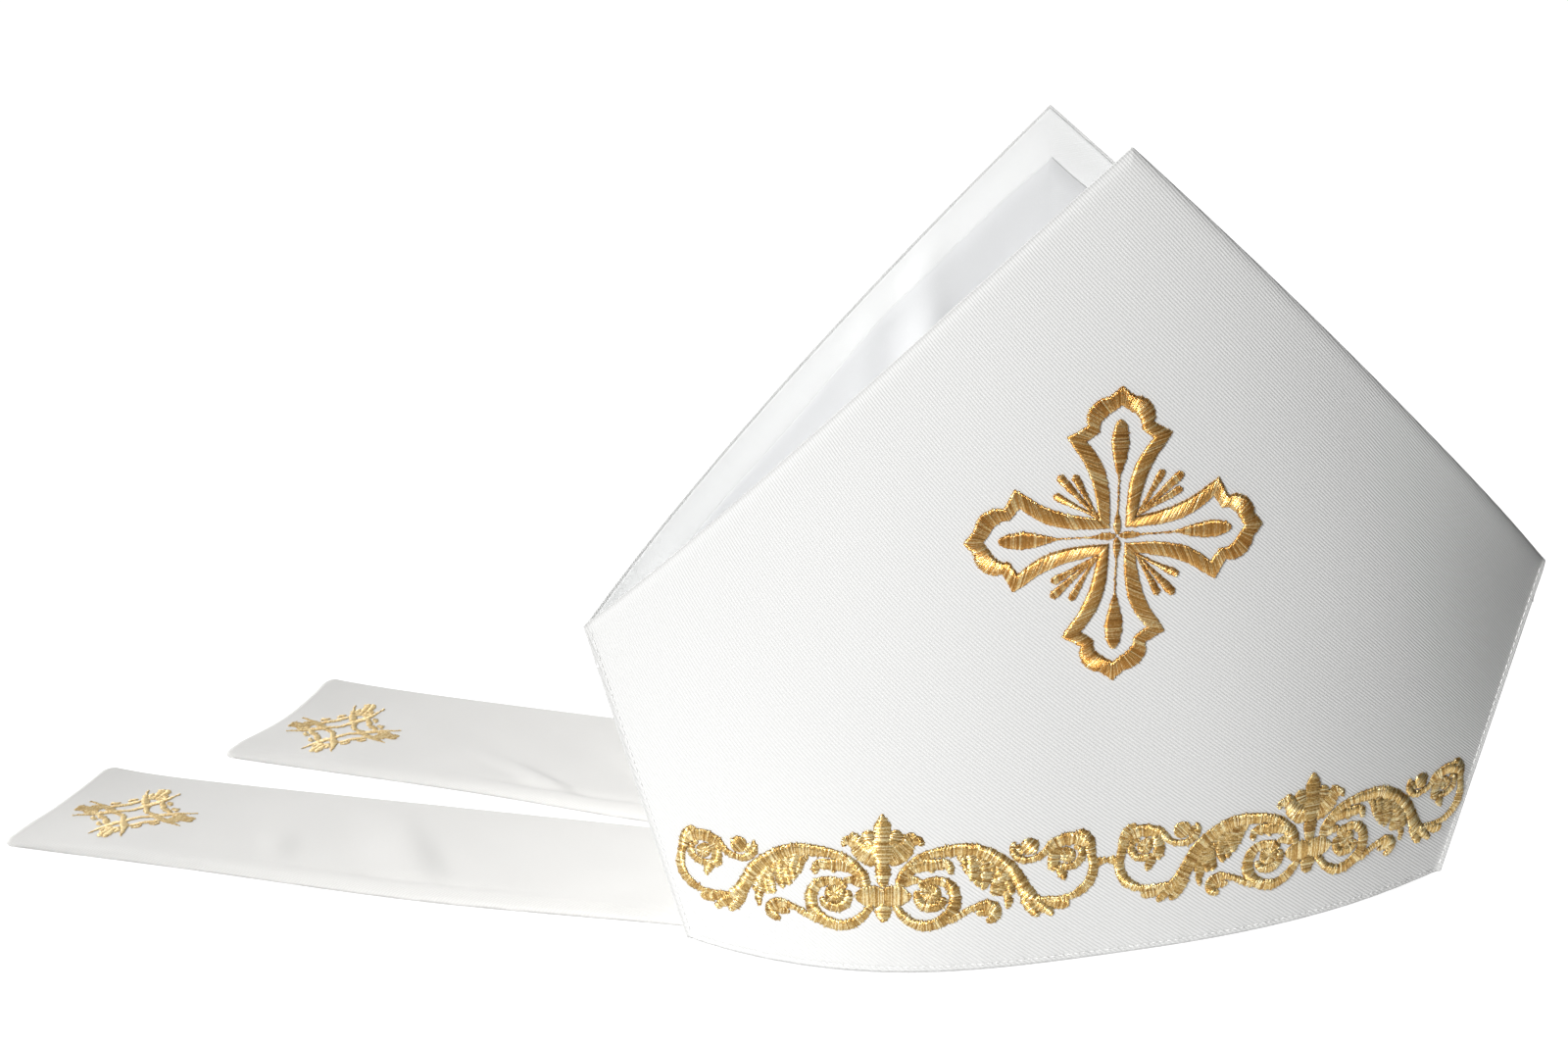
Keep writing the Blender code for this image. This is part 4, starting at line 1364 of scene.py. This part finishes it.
@dataclass
class ScrollBand(Maker):
    """One motif of the scroll band: mirror-symmetric scrolls, leaves and a palmette on a stem."""

    panel: Panel
    side: int
    half_repeat: float = 0.079
    height: float = 0.00038
    layer_step: float = 0.00009
    # Strokes as (across, up, half width) in millimetres from the motif's centre line and the rim.
    strokes: dict = field(default_factory=lambda: {
        "bud": ((0.0, 26.6, 2.4), (0.0, 24.0, 2.8), (0.0, 21.6, 2.1), (0.0, 19.5, 0.5)),
        "stem": ((0.0, 32.6, 1.6), (0.0, 35.0, 1.9), (0.0, 38.0, 2.5), (0.0, 41.6, 3.7)),
        "great_scroll": (
            (5.6, 32.6, 1.6), (7.1, 37.0, 1.8), (9.8, 40.4, 1.6), (13.0, 43.0, 1.5), (17.0, 44.5, 1.5),
            (21.0, 45.2, 1.8), (26.0, 45.5, 2.1), (31.0, 45.3, 2.2), (36.0, 43.6, 2.2), (41.0, 40.4, 2.3),
            (44.8, 36.8, 2.4), (47.6, 32.6, 2.4), (50.0, 28.2, 2.5), (52.6, 25.2, 2.2), (55.6, 24.2, 1.5),
        ),
        "bar": ((-1.0, 29.3, 3.9), (3.0, 29.3, 3.9), (6.0, 29.2, 3.7), (8.0, 29.2, 2.4), (9.9, 29.2, 0.4)),
        "outer_scroll": (
            (54.0, 24.6, 1.2), (59.0, 24.4, 0.9), (65.0, 24.5, 0.9), (69.0, 26.0, 1.4), (72.2, 28.6, 1.6),
            (73.8, 31.9, 1.7), (74.3, 35.4, 1.6), (73.6, 39.0, 1.4), (73.0, 42.2, 1.7), (72.2, 45.2, 2.0),
            (70.6, 47.4, 1.7), (69.2, 48.6, 1.1), (68.4, 49.1, 0.5),
        ),
        "crest_leaf": (
            (73.0, 43.4, 1.5), (69.6, 45.7, 2.0), (66.0, 46.6, 2.2), (62.5, 46.1, 2.0), (59.3, 44.8, 1.8),
            (57.2, 42.9, 1.2), (55.2, 41.2, 1.1), (52.4, 40.2, 1.0), (49.6, 40.0, 1.1), (47.2, 41.0, 1.3),
            (45.6, 43.0, 1.3), (45.0, 45.0, 0.8), (45.9, 47.1, 0.3),
        ),
        "crest_bump_one": ((66.2, 46.5, 1.5), (67.4, 48.5, 1.0)),
        "crest_bump_two": ((62.4, 46.2, 1.4), (62.8, 47.8, 1.0)),
        "crest_bump_three": ((59.4, 45.2, 1.2), (58.2, 46.4, 0.8)),
        "small_volute_fill": ((46.6, 46.0, 0.9), (47.2, 44.2, 1.2), (48.8, 42.6, 0.9)),
        "small_volute": ((48.7, 47.2, 1.4), (50.2, 45.9, 2.7), (51.6, 44.6, 3.1), (53.4, 42.8, 2.4)),
        "crest_back_leaf": (
            (61.8, 45.0, 1.5), (60.2, 42.4, 1.9), (59.6, 39.6, 1.9), (59.8, 37.2, 1.9), (60.8, 35.6, 1.4),
        ),
        "back_bump_one": ((60.0, 40.6, 1.1), (57.9, 40.2, 0.8)),
        "back_bump_two": ((60.0, 37.4, 1.1), (57.8, 36.0, 0.8)),
        "back_bump_three": ((60.0, 37.0, 1.1), (59.4, 34.9, 0.8)),
        "pendant": ((62.0, 37.0, 1.5), (62.6, 34.6, 1.7), (63.4, 32.6, 1.2), (63.9, 31.0, 0.3)),
        "eye_ring": (
            (61.6, 36.6, 1.0), (64.6, 35.9, 1.1), (67.9, 36.8, 1.2), (70.0, 39.4, 1.2), (69.5, 42.2, 1.0),
            (67.0, 43.5, 0.7),
        ),
        "inner_leaf": (
            (8.2, 36.6, 1.4), (10.6, 39.4, 1.8), (14.0, 40.4, 2.1), (17.6, 40.5, 2.0), (20.6, 40.9, 1.5),
            (22.6, 40.2, 1.4), (23.5, 38.4, 1.1), (23.0, 36.8, 0.6),
        ),
        "inner_bump_one": ((13.8, 39.8, 1.2), (13.0, 38.2, 0.8)),
        "inner_bump_two": ((17.0, 39.4, 1.6), (16.8, 37.6, 1.0)),
        "inner_bump_three": ((20.0, 39.8, 1.2), (20.6, 38.4, 0.8)),
        "hook_leaf": ((6.4, 33.4, 1.7), (9.0, 34.8, 1.6), (11.4, 35.0, 1.2), (13.6, 34.2, 0.5)),
        "lower_scroll": (
            (3.8, 26.2, 1.2), (6.2, 22.7, 1.3), (9.4, 19.7, 1.6), (13.2, 18.1, 1.7), (17.4, 18.4, 1.9),
            (21.4, 20.4, 2.0), (24.2, 23.6, 2.1), (24.9, 27.4, 2.0), (24.2, 31.0, 1.9), (21.8, 33.6, 1.7),
            (18.2, 34.5, 1.4), (14.8, 33.9, 1.3), (12.6, 32.0, 1.3),
        ),
        "lower_turn": (
            (12.2, 31.4, 1.3), (11.9, 28.4, 1.3), (13.4, 25.6, 1.5), (16.6, 24.6, 1.5), (19.8, 25.6, 1.4),
            (21.3, 28.4, 1.0),
        ),
        "lower_core": spiral((16.7, 30.0), 3.1, 2.2, 1.25, 0.3),
        "eye_core": spiral((65.2, 40.6), 2.5, 1.9, 0.95, 0.25),
        "lower_tail": (
            (21.5, 19.6, 1.4), (25.6, 20.9, 1.2), (29.4, 22.9, 1.0), (33.0, 24.2, 1.1), (36.2, 24.5, 1.8),
            (39.0, 23.0, 1.9), (39.2, 20.4, 1.8), (37.4, 18.8, 1.3), (35.8, 18.9, 0.6),
        ),
        "tail_leaf": ((38.0, 22.4, 2.0), (35.0, 21.9, 1.4), (32.3, 21.4, 0.4)),
        "tail_bump": ((36.0, 25.0, 1.2), (37.0, 26.2, 0.8)),
        "acanthus_rim": ((25.6, 43.2, 0.9), (27.6, 42.4, 1.3), (28.8, 39.6, 1.2), (29.6, 36.2, 0.9)),
        "acanthus_mass": ((30.6, 42.4, 1.4), (33.6, 40.4, 2.6), (36.2, 38.8, 2.6), (38.4, 38.2, 1.4)),
        "acanthus_mass_two": ((39.2, 38.2, 1.2), (41.0, 35.4, 2.2), (42.6, 32.6, 1.8), (43.4, 30.6, 1.0)),
        "acanthus_one": (
            (29.7, 44.2, 1.6), (31.0, 41.0, 2.0), (31.5, 37.6, 1.9), (31.3, 35.0, 1.4), (30.8, 33.7, 0.8),
        ),
        "acanthus_two": (
            (32.5, 43.2, 2.2), (33.5, 39.6, 2.4), (33.7, 35.6, 2.2), (33.0, 32.9, 1.3), (32.6, 31.6, 0.8),
        ),
        "acanthus_three": (
            (35.2, 41.8, 2.0), (36.0, 38.0, 2.2), (35.9, 34.4, 1.8), (35.2, 31.6, 1.1), (34.8, 30.2, 0.5),
        ),
        "acanthus_four": ((37.8, 41.6, 1.4), (38.3, 38.6, 1.1), (38.4, 36.4, 0.5)),
        "acanthus_five": (
            (41.2, 39.2, 1.7), (40.3, 35.0, 1.9), (39.7, 31.6, 2.0), (38.8, 28.9, 1.4), (38.2, 27.7, 0.8),
        ),
        "acanthus_six": ((42.0, 37.0, 1.7), (41.7, 33.0, 2.0), (41.1, 30.0, 1.8), (40.4, 27.5, 1.0)),
        "acanthus_seven": ((43.4, 34.8, 1.3), (43.9, 31.6, 1.5), (44.6, 29.2, 1.3), (45.0, 27.7, 0.8)),
        "acanthus_eight": (
            (42.6, 31.4, 1.4), (43.0, 28.4, 1.3), (43.9, 25.6, 1.1), (43.5, 23.4, 0.7), (43.0, 22.4, 0.3),
        ),
        "foot_one": (
            (49.2, 27.6, 2.0), (51.0, 24.0, 2.2), (52.6, 21.3, 1.9), (54.0, 19.4, 1.2), (54.3, 18.3, 0.5),
        ),
        "foot_two": ((52.5, 25.0, 1.9), (55.6, 22.4, 1.9), (58.0, 20.4, 1.4), (59.7, 18.5, 0.8)),
        "foot_two_bump": ((55.8, 22.6, 1.2), (56.8, 19.7, 0.8)),
        "foot_three": ((55.8, 24.2, 1.3), (60.0, 23.0, 1.6), (63.4, 22.4, 2.0), (65.8, 21.6, 1.1)),
        "foot_three_bump": ((60.8, 22.6, 1.2), (62.2, 20.8, 0.9)),
        "under_lobe": ((2.0, 41.6, 1.2), (5.0, 42.3, 1.6), (8.2, 44.4, 1.4), (10.4, 46.2, 0.8)),
        "outer_lobe": (
            (1.5, 43.0, 2.2), (5.2, 44.8, 3.2), (8.0, 47.4, 2.8), (10.2, 49.4, 1.8), (12.0, 49.7, 1.5),
            (13.2, 48.8, 1.0), (13.0, 47.4, 0.5),
        ),
        "outer_lobe_bump": ((7.6, 47.6, 1.6), (9.7, 50.4, 1.1)),
        "small_lobe": ((3.2, 46.0, 2.2), (4.6, 50.2, 2.5), (5.0, 53.6, 1.7)),
        "outer_lobe_fill": ((7.0, 48.6, 1.6), (9.6, 51.0, 1.4), (11.4, 51.4, 0.8)),
        "middle_lobe": (
            (0.0, 40.6, 3.8), (0.0, 46.0, 3.9), (0.0, 51.5, 2.9), (0.0, 54.8, 2.9),
            (0.0, 57.2, 1.6), (0.0, 59.3, 0.3),
        ),
    })
    join: tuple = ((74.4, 35.2, 1.2), (76.4, 36.6, 1.6), (78.0, 36.9, 1.2), (79.2, 37.0, 0.9))

    def build(self, name: str, material: Material) -> Piece:
        """Make the motif."""
        rng = np.random.default_rng(20 + self.side)
        work = ThreadWork(rng, pitch=0.00046, rings=5, ragged=0.00024, uneven=0.32)
        for layer, points in enumerate(self.strokes.values()):
            height = self.height + self.layer_step * (layer % 3)
            work.repeat(stroke_outlines(points, wider=0.25), height, flips=mirrorings(points))
        work.repeat(stroke_outlines(self.join), self.height, flips=(-self.side,))
        laying = PanelLaying(self.panel, (self.side * self.half_repeat, 0.0), by_arc=True, gap=0.0001)
        return work.build(name, laying, material)


@dataclass
class LappetCross(Maker):
    """The small cross near a lappet's end: four flower-like arms round an open lozenge."""

    lappet: Lappet
    from_end: float = 0.0368
    offset: float = -0.0022
    gap: float = 0.0001
    height: float = 0.00026
    strokes: tuple = (
        (
            (-4.4, 1.6, 0.6), (-2.4, 5.2, 0.95), (0.4, 9.8, 1.4), (3.2, 14.0, 1.6), (4.8, 17.4, 1.0),
            (5.9, 20.4, 0.5), (7.2, 24.0, 0.2),
        ),
        ((0.9, 16.0, 0.8), (1.15, 18.6, 1.15), (1.2, 22.6, 1.25), (1.2, 26.2, 1.2)),
        ((1.6, 15.6, 0.6), (2.9, 17.8, 1.0), (3.3, 19.8, 0.8), (3.0, 21.2, 0.3)),
        ((4.2, 13.4, 0.5), (5.8, 12.2, 1.2), (7.6, 9.4, 1.2), (8.4, 7.8, 0.5)),
        ((6.6, 14.8, 0.4), (8.4, 13.8, 0.9), (9.4, 11.6, 0.4)),
    )

    def place(self, flat: Array) -> Array:
        """Turn (across, up, height) into points on the lappet's top face."""
        distance = self.lappet.row.end - self.from_end - flat[:, 0]
        points = self.lappet.top(distance, self.lappet.width / 2 + self.offset + flat[:, 1])
        points[:, 2] += self.gap + flat[:, 2]
        return points + self.lappet.form.origin()

    def build(self, name: str, material: Material) -> Piece:
        """Make the cross."""
        rng = np.random.default_rng(31)
        work = ThreadWork(rng, pitch=0.00046, rings=5, ragged=0.00030, uneven=0.16)
        for points in self.strokes:
            # The raised tone is painted sheen too: it moves the stitches towards the pale end of the gold.
            work.repeat(stroke_outlines(points), self.height, range(4), mirrorings(points), tone=0.60)
        return work.build(name, self.place, material)


@dataclass
class Sewing(Maker):
    """The white running stitches of a panel's hem and side seams."""

    panel: Panel
    stitch: float = 0.0021
    space: float = 0.0029
    seam_inset: float = 0.0019
    hem_inset: float = 0.0035
    above_hem: float = 0.003
    below_corner: float = 0.001
    height: float = 0.00022
    sunk: float = 0.0001
    tone: float = 0.6
    uneven: float = 0.00008

    def lines(self) -> list[Array]:
        """Flat paths (x, z) of the stitch lines: along the hem and up both side seams."""
        form, panel = self.panel.form, self.panel
        share = np.linspace(-1, 1, 1201)
        z = panel.rim_line(share) + panel.hem_line
        hem = np.stack([share * (form.half_width(z) - self.hem_inset), z], -1)
        z = np.linspace(panel.hem_line + self.above_hem, form.corner_height - self.below_corner, 500)
        seams = [np.stack([way * (form.half_width(z) - self.seam_inset), z], -1) for way in (-1, 1)]
        return [hem, *seams]

    def build(self, name: str, material: Material) -> Piece:
        """Make the stitches, each a short strand whose ends go into the cloth."""
        work = ThreadWork(np.random.default_rng(41), thread=0.00034, rings=4)
        for line in self.lines():
            length = run_length(self.panel.outer(line[:, 0], line[:, 1]))
            starts = np.arange(0, length[-1] - self.space, self.space)
            ends = starts + self.stitch + work.rng.normal(0, self.uneven, len(starts))
            a, b = (points_at(at, length, line) for at in (starts, ends))
            height, tone = (np.full(len(a), value) for value in (self.height, self.tone))
            work.strands(a, b, height, tone, floor=-self.sunk)
        return work.build(name, PanelLaying(self.panel), material)


# ---------------------------------------------------------------- the studio


@dataclass(frozen=True)
class Studio:
    """White floor, soft lights and the camera at the photograph's angle."""

    camera_place: Triple = (-0.24947, -0.84774, 0.41810)
    right: Triple = (0.98507408, -0.17169212, -0.01228263)
    up: Triple = (0.0619876, 0.28727076, 0.95584154)
    lens: float = 60.384
    target: Triple = (0.0, 0.0, 0.17)
    sensor: float = 36.0
    glow: float = 0.94
    floor_grey: float = 0.22
    floor_size: float = 12.0
    room_dark: float = 0.25
    room_bright: float = 0.85
    room_glow: float = 0.70
    box_away: Triple = (-0.657, -0.657, 0.370)
    box_distance: float = 1.2
    box_power: float = 1.87
    box_size: float = 0.50
    grid: float = 50.0
    turned: float = 16.0
    # Each far light: its name, the direction towards it, its brightness and its width in degrees.
    lights: tuple = (
        ("behind", (-0.68, 0.56, 0.47), 1.02, 30.0),
        ("behind_right", (0.30, 0.60, 0.60), 0.20, 40.0),
    )
    sweep: tuple[tuple[Triple, float, float], ...] = (
        ((0.17, 0.985, 0.0), -0.44, -0.22),
        ((1.034, 0.115, 0.0), -0.50, -0.32),
        ((-0.936, 0.455, 0.0), -0.48, -0.345),
    )

    def floor(self) -> None:
        """Lay the pale floor: a grey sheet that glows white, which is painted light.

        The glow washes out the mitre's cast shadow and lights the mitre from below. Its white sweep widens
        away from the camera. It ends a short way in front of the mitre and beside it, so three soft limits
        are multiplied: one ahead, one at each side.
        """
        pale, board, shader = new_material("floor_white")
        place = board.feed("TexCoord", "Object")
        # Painted light: the glow, cut off by the soft limits, lights the mitre from below and washes out its
        # cast shadow.
        strength = self.glow
        for direction, dark, bright in self.sweep:
            along = board.feed("VectorMath", "Value", {0: place, 1: direction}, operation="DOT_PRODUCT")
            limit = board.fade(along, dark, bright, Smooth.SOFT)
            strength = board.feed("Math", 0, {0: limit, 1: strength}, operation="MULTIPLY")
        board.fill(shader, {
            "Base Color": (*3 * (self.floor_grey,), 1), "Roughness": 1.0, "Specular IOR Level": 0.0,
            "Emission Color": (1, 1, 1, 1), "Emission Strength": strength,
        })
        corners = self.floor_size * np.array([[-1, -1, 0], [1, -1, 0], [1, 1, 0], [-1, 1, 0]])
        mesh = bpy.data.meshes.new("floor")
        mesh.from_pydata(corners.tolist(), [], [(0, 1, 2, 3)])
        mesh.materials.append(pale)
        new_object("floor", mesh)

    def lamp(self, light: bpy.types.Light, towards: Triple, spot: Triple) -> None:
        """Put a light in the scene.

        Args:
            light: Its settings.
            towards: Direction from the mitre to the light.
            spot: Where it stands.
        """
        lamp = new_object(light.name, light)
        lamp.location = spot
        lamp.rotation_mode = "QUATERNION"
        lamp.rotation_quaternion = Vector(towards).normalized().to_track_quat("Z", "Y")

    def light(self, name: str, towards: Triple, power: float, softness: float) -> None:
        """Add a soft light that is so large and far away that it lights the whole floor evenly.

        Args:
            name: Name of the light.
            towards: Direction from the mitre to the light.
            power: Brightness that it gives a white surface square to it.
            softness: Width of the light as seen from the mitre, in degrees.
        """
        sun = bpy.data.lights.new(name, "SUN")
        sun.energy = power * np.pi
        sun.angle = np.radians(softness)
        self.lamp(sun, towards, (0, 0, 0))

    def softbox(self, target: Array) -> None:
        """Add a round softbox a short way off, with a grid that narrows its beam.

        It is turned past the mitre, to the right, so that the near side isn't overlit. A grid of
        half angle h lets through tan h minus the tangent of the angle from the axis.

        Args:
            target: What it would face if it weren't turned. A white surface there, square to its
                axis, takes box_power from it.
        """
        spot = target + self.box_distance * np.array(self.box_away)
        x, y, z = spot - target
        half, turn = np.radians(self.grid), np.radians(-self.turned)
        gain = np.tan(half) / (np.tan(half) - half)
        box = bpy.data.lights.new("softbox", "AREA")
        box.shape = "DISK"
        box.size = self.box_size
        box.spread = 2 * half
        box.energy = self.box_power * np.pi**2 * (x * x + y * y + z * z) / gain
        cosine, sine = np.cos(turn), np.sin(turn)
        self.lamp(box, (cosine * x - sine * y, sine * x + cosine * y, z), tuple(spot))

    def camera(self, origin: Array) -> None:
        """Place the camera from its axes.

        Args:
            origin: Where the mitre's own origin lies.
        """
        data = bpy.data.cameras.new("camera")
        data.lens = self.lens
        data.sensor_width = self.sensor
        data.clip_end = 50
        camera = new_object("camera", data)
        back = np.cross(self.right, self.up)
        axes = np.column_stack([self.right, self.up, back, np.array(self.camera_place) + origin])
        camera.matrix_world = Matrix(np.vstack([axes, [0, 0, 0, 1]]).tolist())
        bpy.context.scene.camera = camera

    def world(self) -> bpy.types.World:
        """Make the room: pale behind the mitre and dim in front, by the direction's y."""
        world = bpy.data.worlds.new("studio")
        world.use_nodes = True
        board = NodeBoard(world.node_tree)
        ahead = board.feed("SeparateXYZ", "Y", {"Vector": board.feed("TexCoord", "Generated")})
        strength = board.fade(ahead, self.room_dark, self.room_bright, Smooth.SOFT, to=self.room_glow)
        board.fill(world.node_tree.nodes["Background"], {"Color": (1, 1, 1, 1), "Strength": strength})
        return world

    def build(self, origin: Array) -> None:
        """Set up floor, world, lights and camera.

        Args:
            origin: Where the mitre's own origin lies.
        """
        scene = bpy.context.scene
        scene.view_settings.view_transform = "Standard"
        scene.world = self.world()
        self.floor()
        self.softbox(origin + np.array(self.target))
        for light in self.lights:
            self.light(*light)
        self.camera(origin)


# ---------------------------------------------------------------- the whole mitre


def carry(piece: Piece, solid: str = "") -> Piece:
    """Let a piece ride on the part's one body and report it.

    Args:
        piece: The piece.
        solid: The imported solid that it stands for, if there is one.

    Returns:
        The same piece.
    """
    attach(piece, "root")
    if solid:
        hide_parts(solid)
    LOG.info("%s: %d faces", piece.name, len(piece.data.polygons))
    return piece


def main() -> None:
    """Build every piece in order, then the studio."""
    logging.basicConfig(level=logging.INFO, format="%(message)s")
    form = MitreForm()
    # The panel's satin paints shade along its marked edges: seams, rim and sloping fold.
    satin = SatinFinish(
        "panel_satin", colour=(0.681, 0.681, 0.672), twill_pitch=0.00115, twill_depth=0.00027, shade=0.89,
        sheen=0.03, dulled=0.28,
    ).material()
    # Painted light: the turned-in strip is the panel's own satin but is given a lighter colour, for light
    # that shines through the thin cloth inside the horn.
    facing_satin = SatinFinish("facing_satin", colour=(0.785, 0.79, 0.785), shade=0.97).material()
    soft_satin = SatinFinish(
        "lappet_satin", colour=(0.694, 0.687, 0.668), roughness=0.5, twill_pitch=0.00115, twill_depth=0.00015,
        shade=0.90,
    ).material()
    lining_cloth = SatinFinish(
        "lining_cloth", colour=(0.66, 0.665, 0.67), roughness=0.7, sheen=0.15, twill_pitch=0.0005, slub=0.6,
    ).material()
    gold = ThreadFinish(
        "gold_thread", dark=(0.42, 0.195, 0.045), middle=(0.64, 0.345, 0.092), light=(1.0, 0.85, 0.48),
        metallic=0.85, roughness=0.30,
    ).material()
    speckled_gold = ThreadFinish(
        "gold_thread_speckled", dark=(0.38, 0.20, 0.052), middle=(0.69, 0.475, 0.17), light=(1.0, 0.90, 0.58),
        metallic=0.8, roughness=0.28, fleck=0.35, fleck_scale=1900,
    ).material()
    # Painted sheen: the lappet crosses get a paler, flatter copy of the gold thread, standing in for the
    # sheen of the grazing view onto the lappets.
    sheen_pale_gold = ThreadFinish(
        "gold_thread_pale", dark=(0.53, 0.34, 0.13), middle=(0.69, 0.505, 0.235), light=(0.88, 0.77, 0.47),
        metallic=0.40, roughness=0.5, fleck=0.35, fleck_scale=1900,
    ).material()
    white_thread = ThreadFinish(
        "white_thread", dark=(0.70, 0.70, 0.69), light=(0.86, 0.86, 0.85), metallic=0.0, roughness=0.45,
    ).material()

    front = Panel(form, Side.FRONT)
    back = Panel(form, Side.BACK, rest=0.0023)
    for panel, name in ((front, "front"), (back, "back")):
        shell = carry(panel.build(f"{name}_panel_cloth", satin), f"{name}_panel")
        facing = carry(Facing(form, panel.side).build(f"{name}_facing", facing_satin))
        sewing = carry(Sewing(panel).build(f"{name}_sewing", white_thread))

    lining = Lining(form).build("crown_lining_cloth", lining_cloth)
    carry(lining, "crown_lining")

    rows = (
        LappetRow(
            "lappet_left", 25.6, -0.0487, 0.4110, 0.0, 0.0, skew=0.0055, curl=0.0030,
            bulge_at=0.178, bulge_spread=0.085, bulge=0.0058,
            folds=(
                Fold(0.181, -0.66, 0.0016, 0.030, 0.024, 0.028, 0.015),
                Fold(0.118, -0.40, 0.0006, 0.023, 0.012, 0.012, 0.010),
            ),
        ),
        LappetRow(
            "lappet_right", 29.7, 0.0288, 0.3730, 0.006, 0.70, skew=0.0105, curl=0.0016,
            bulge_at=0.200, bulge_spread=0.065, bulge=0.0060,
            folds=(
                Fold(0.171, -1.88, 0.0012, 0.014, 0.014, 0.020, 0.010),
                Fold(0.226, -1.20, 0.0009, 0.030, 0.016, 0.020, 0.010),
            ),
        ),
    )
    for row in rows:
        lappet = Lappet(form, row)
        cloth = carry(lappet.build(f"{row.name}_cloth", soft_satin), row.name)
        solid = row.name.replace("lappet", "lappet_cross")
        cross = LappetCross(lappet).build(f"{solid}_stitching", sheen_pale_gold)
        carry(cross, solid)
        flat = (lappet.width, lappet.length())

    for piece, solid in zip(MitreCross(front).build(gold), ("cross_border", "cross_petals")):
        carry(piece, solid)
    for solid, side in (("scroll_band_left", -1), ("scroll_band_right", 1)):
        carry(ScrollBand(front, side).build(f"{solid}_stitching", speckled_gold), solid)

    Studio().build(form.origin())


if __name__ == "__main__":
    main()
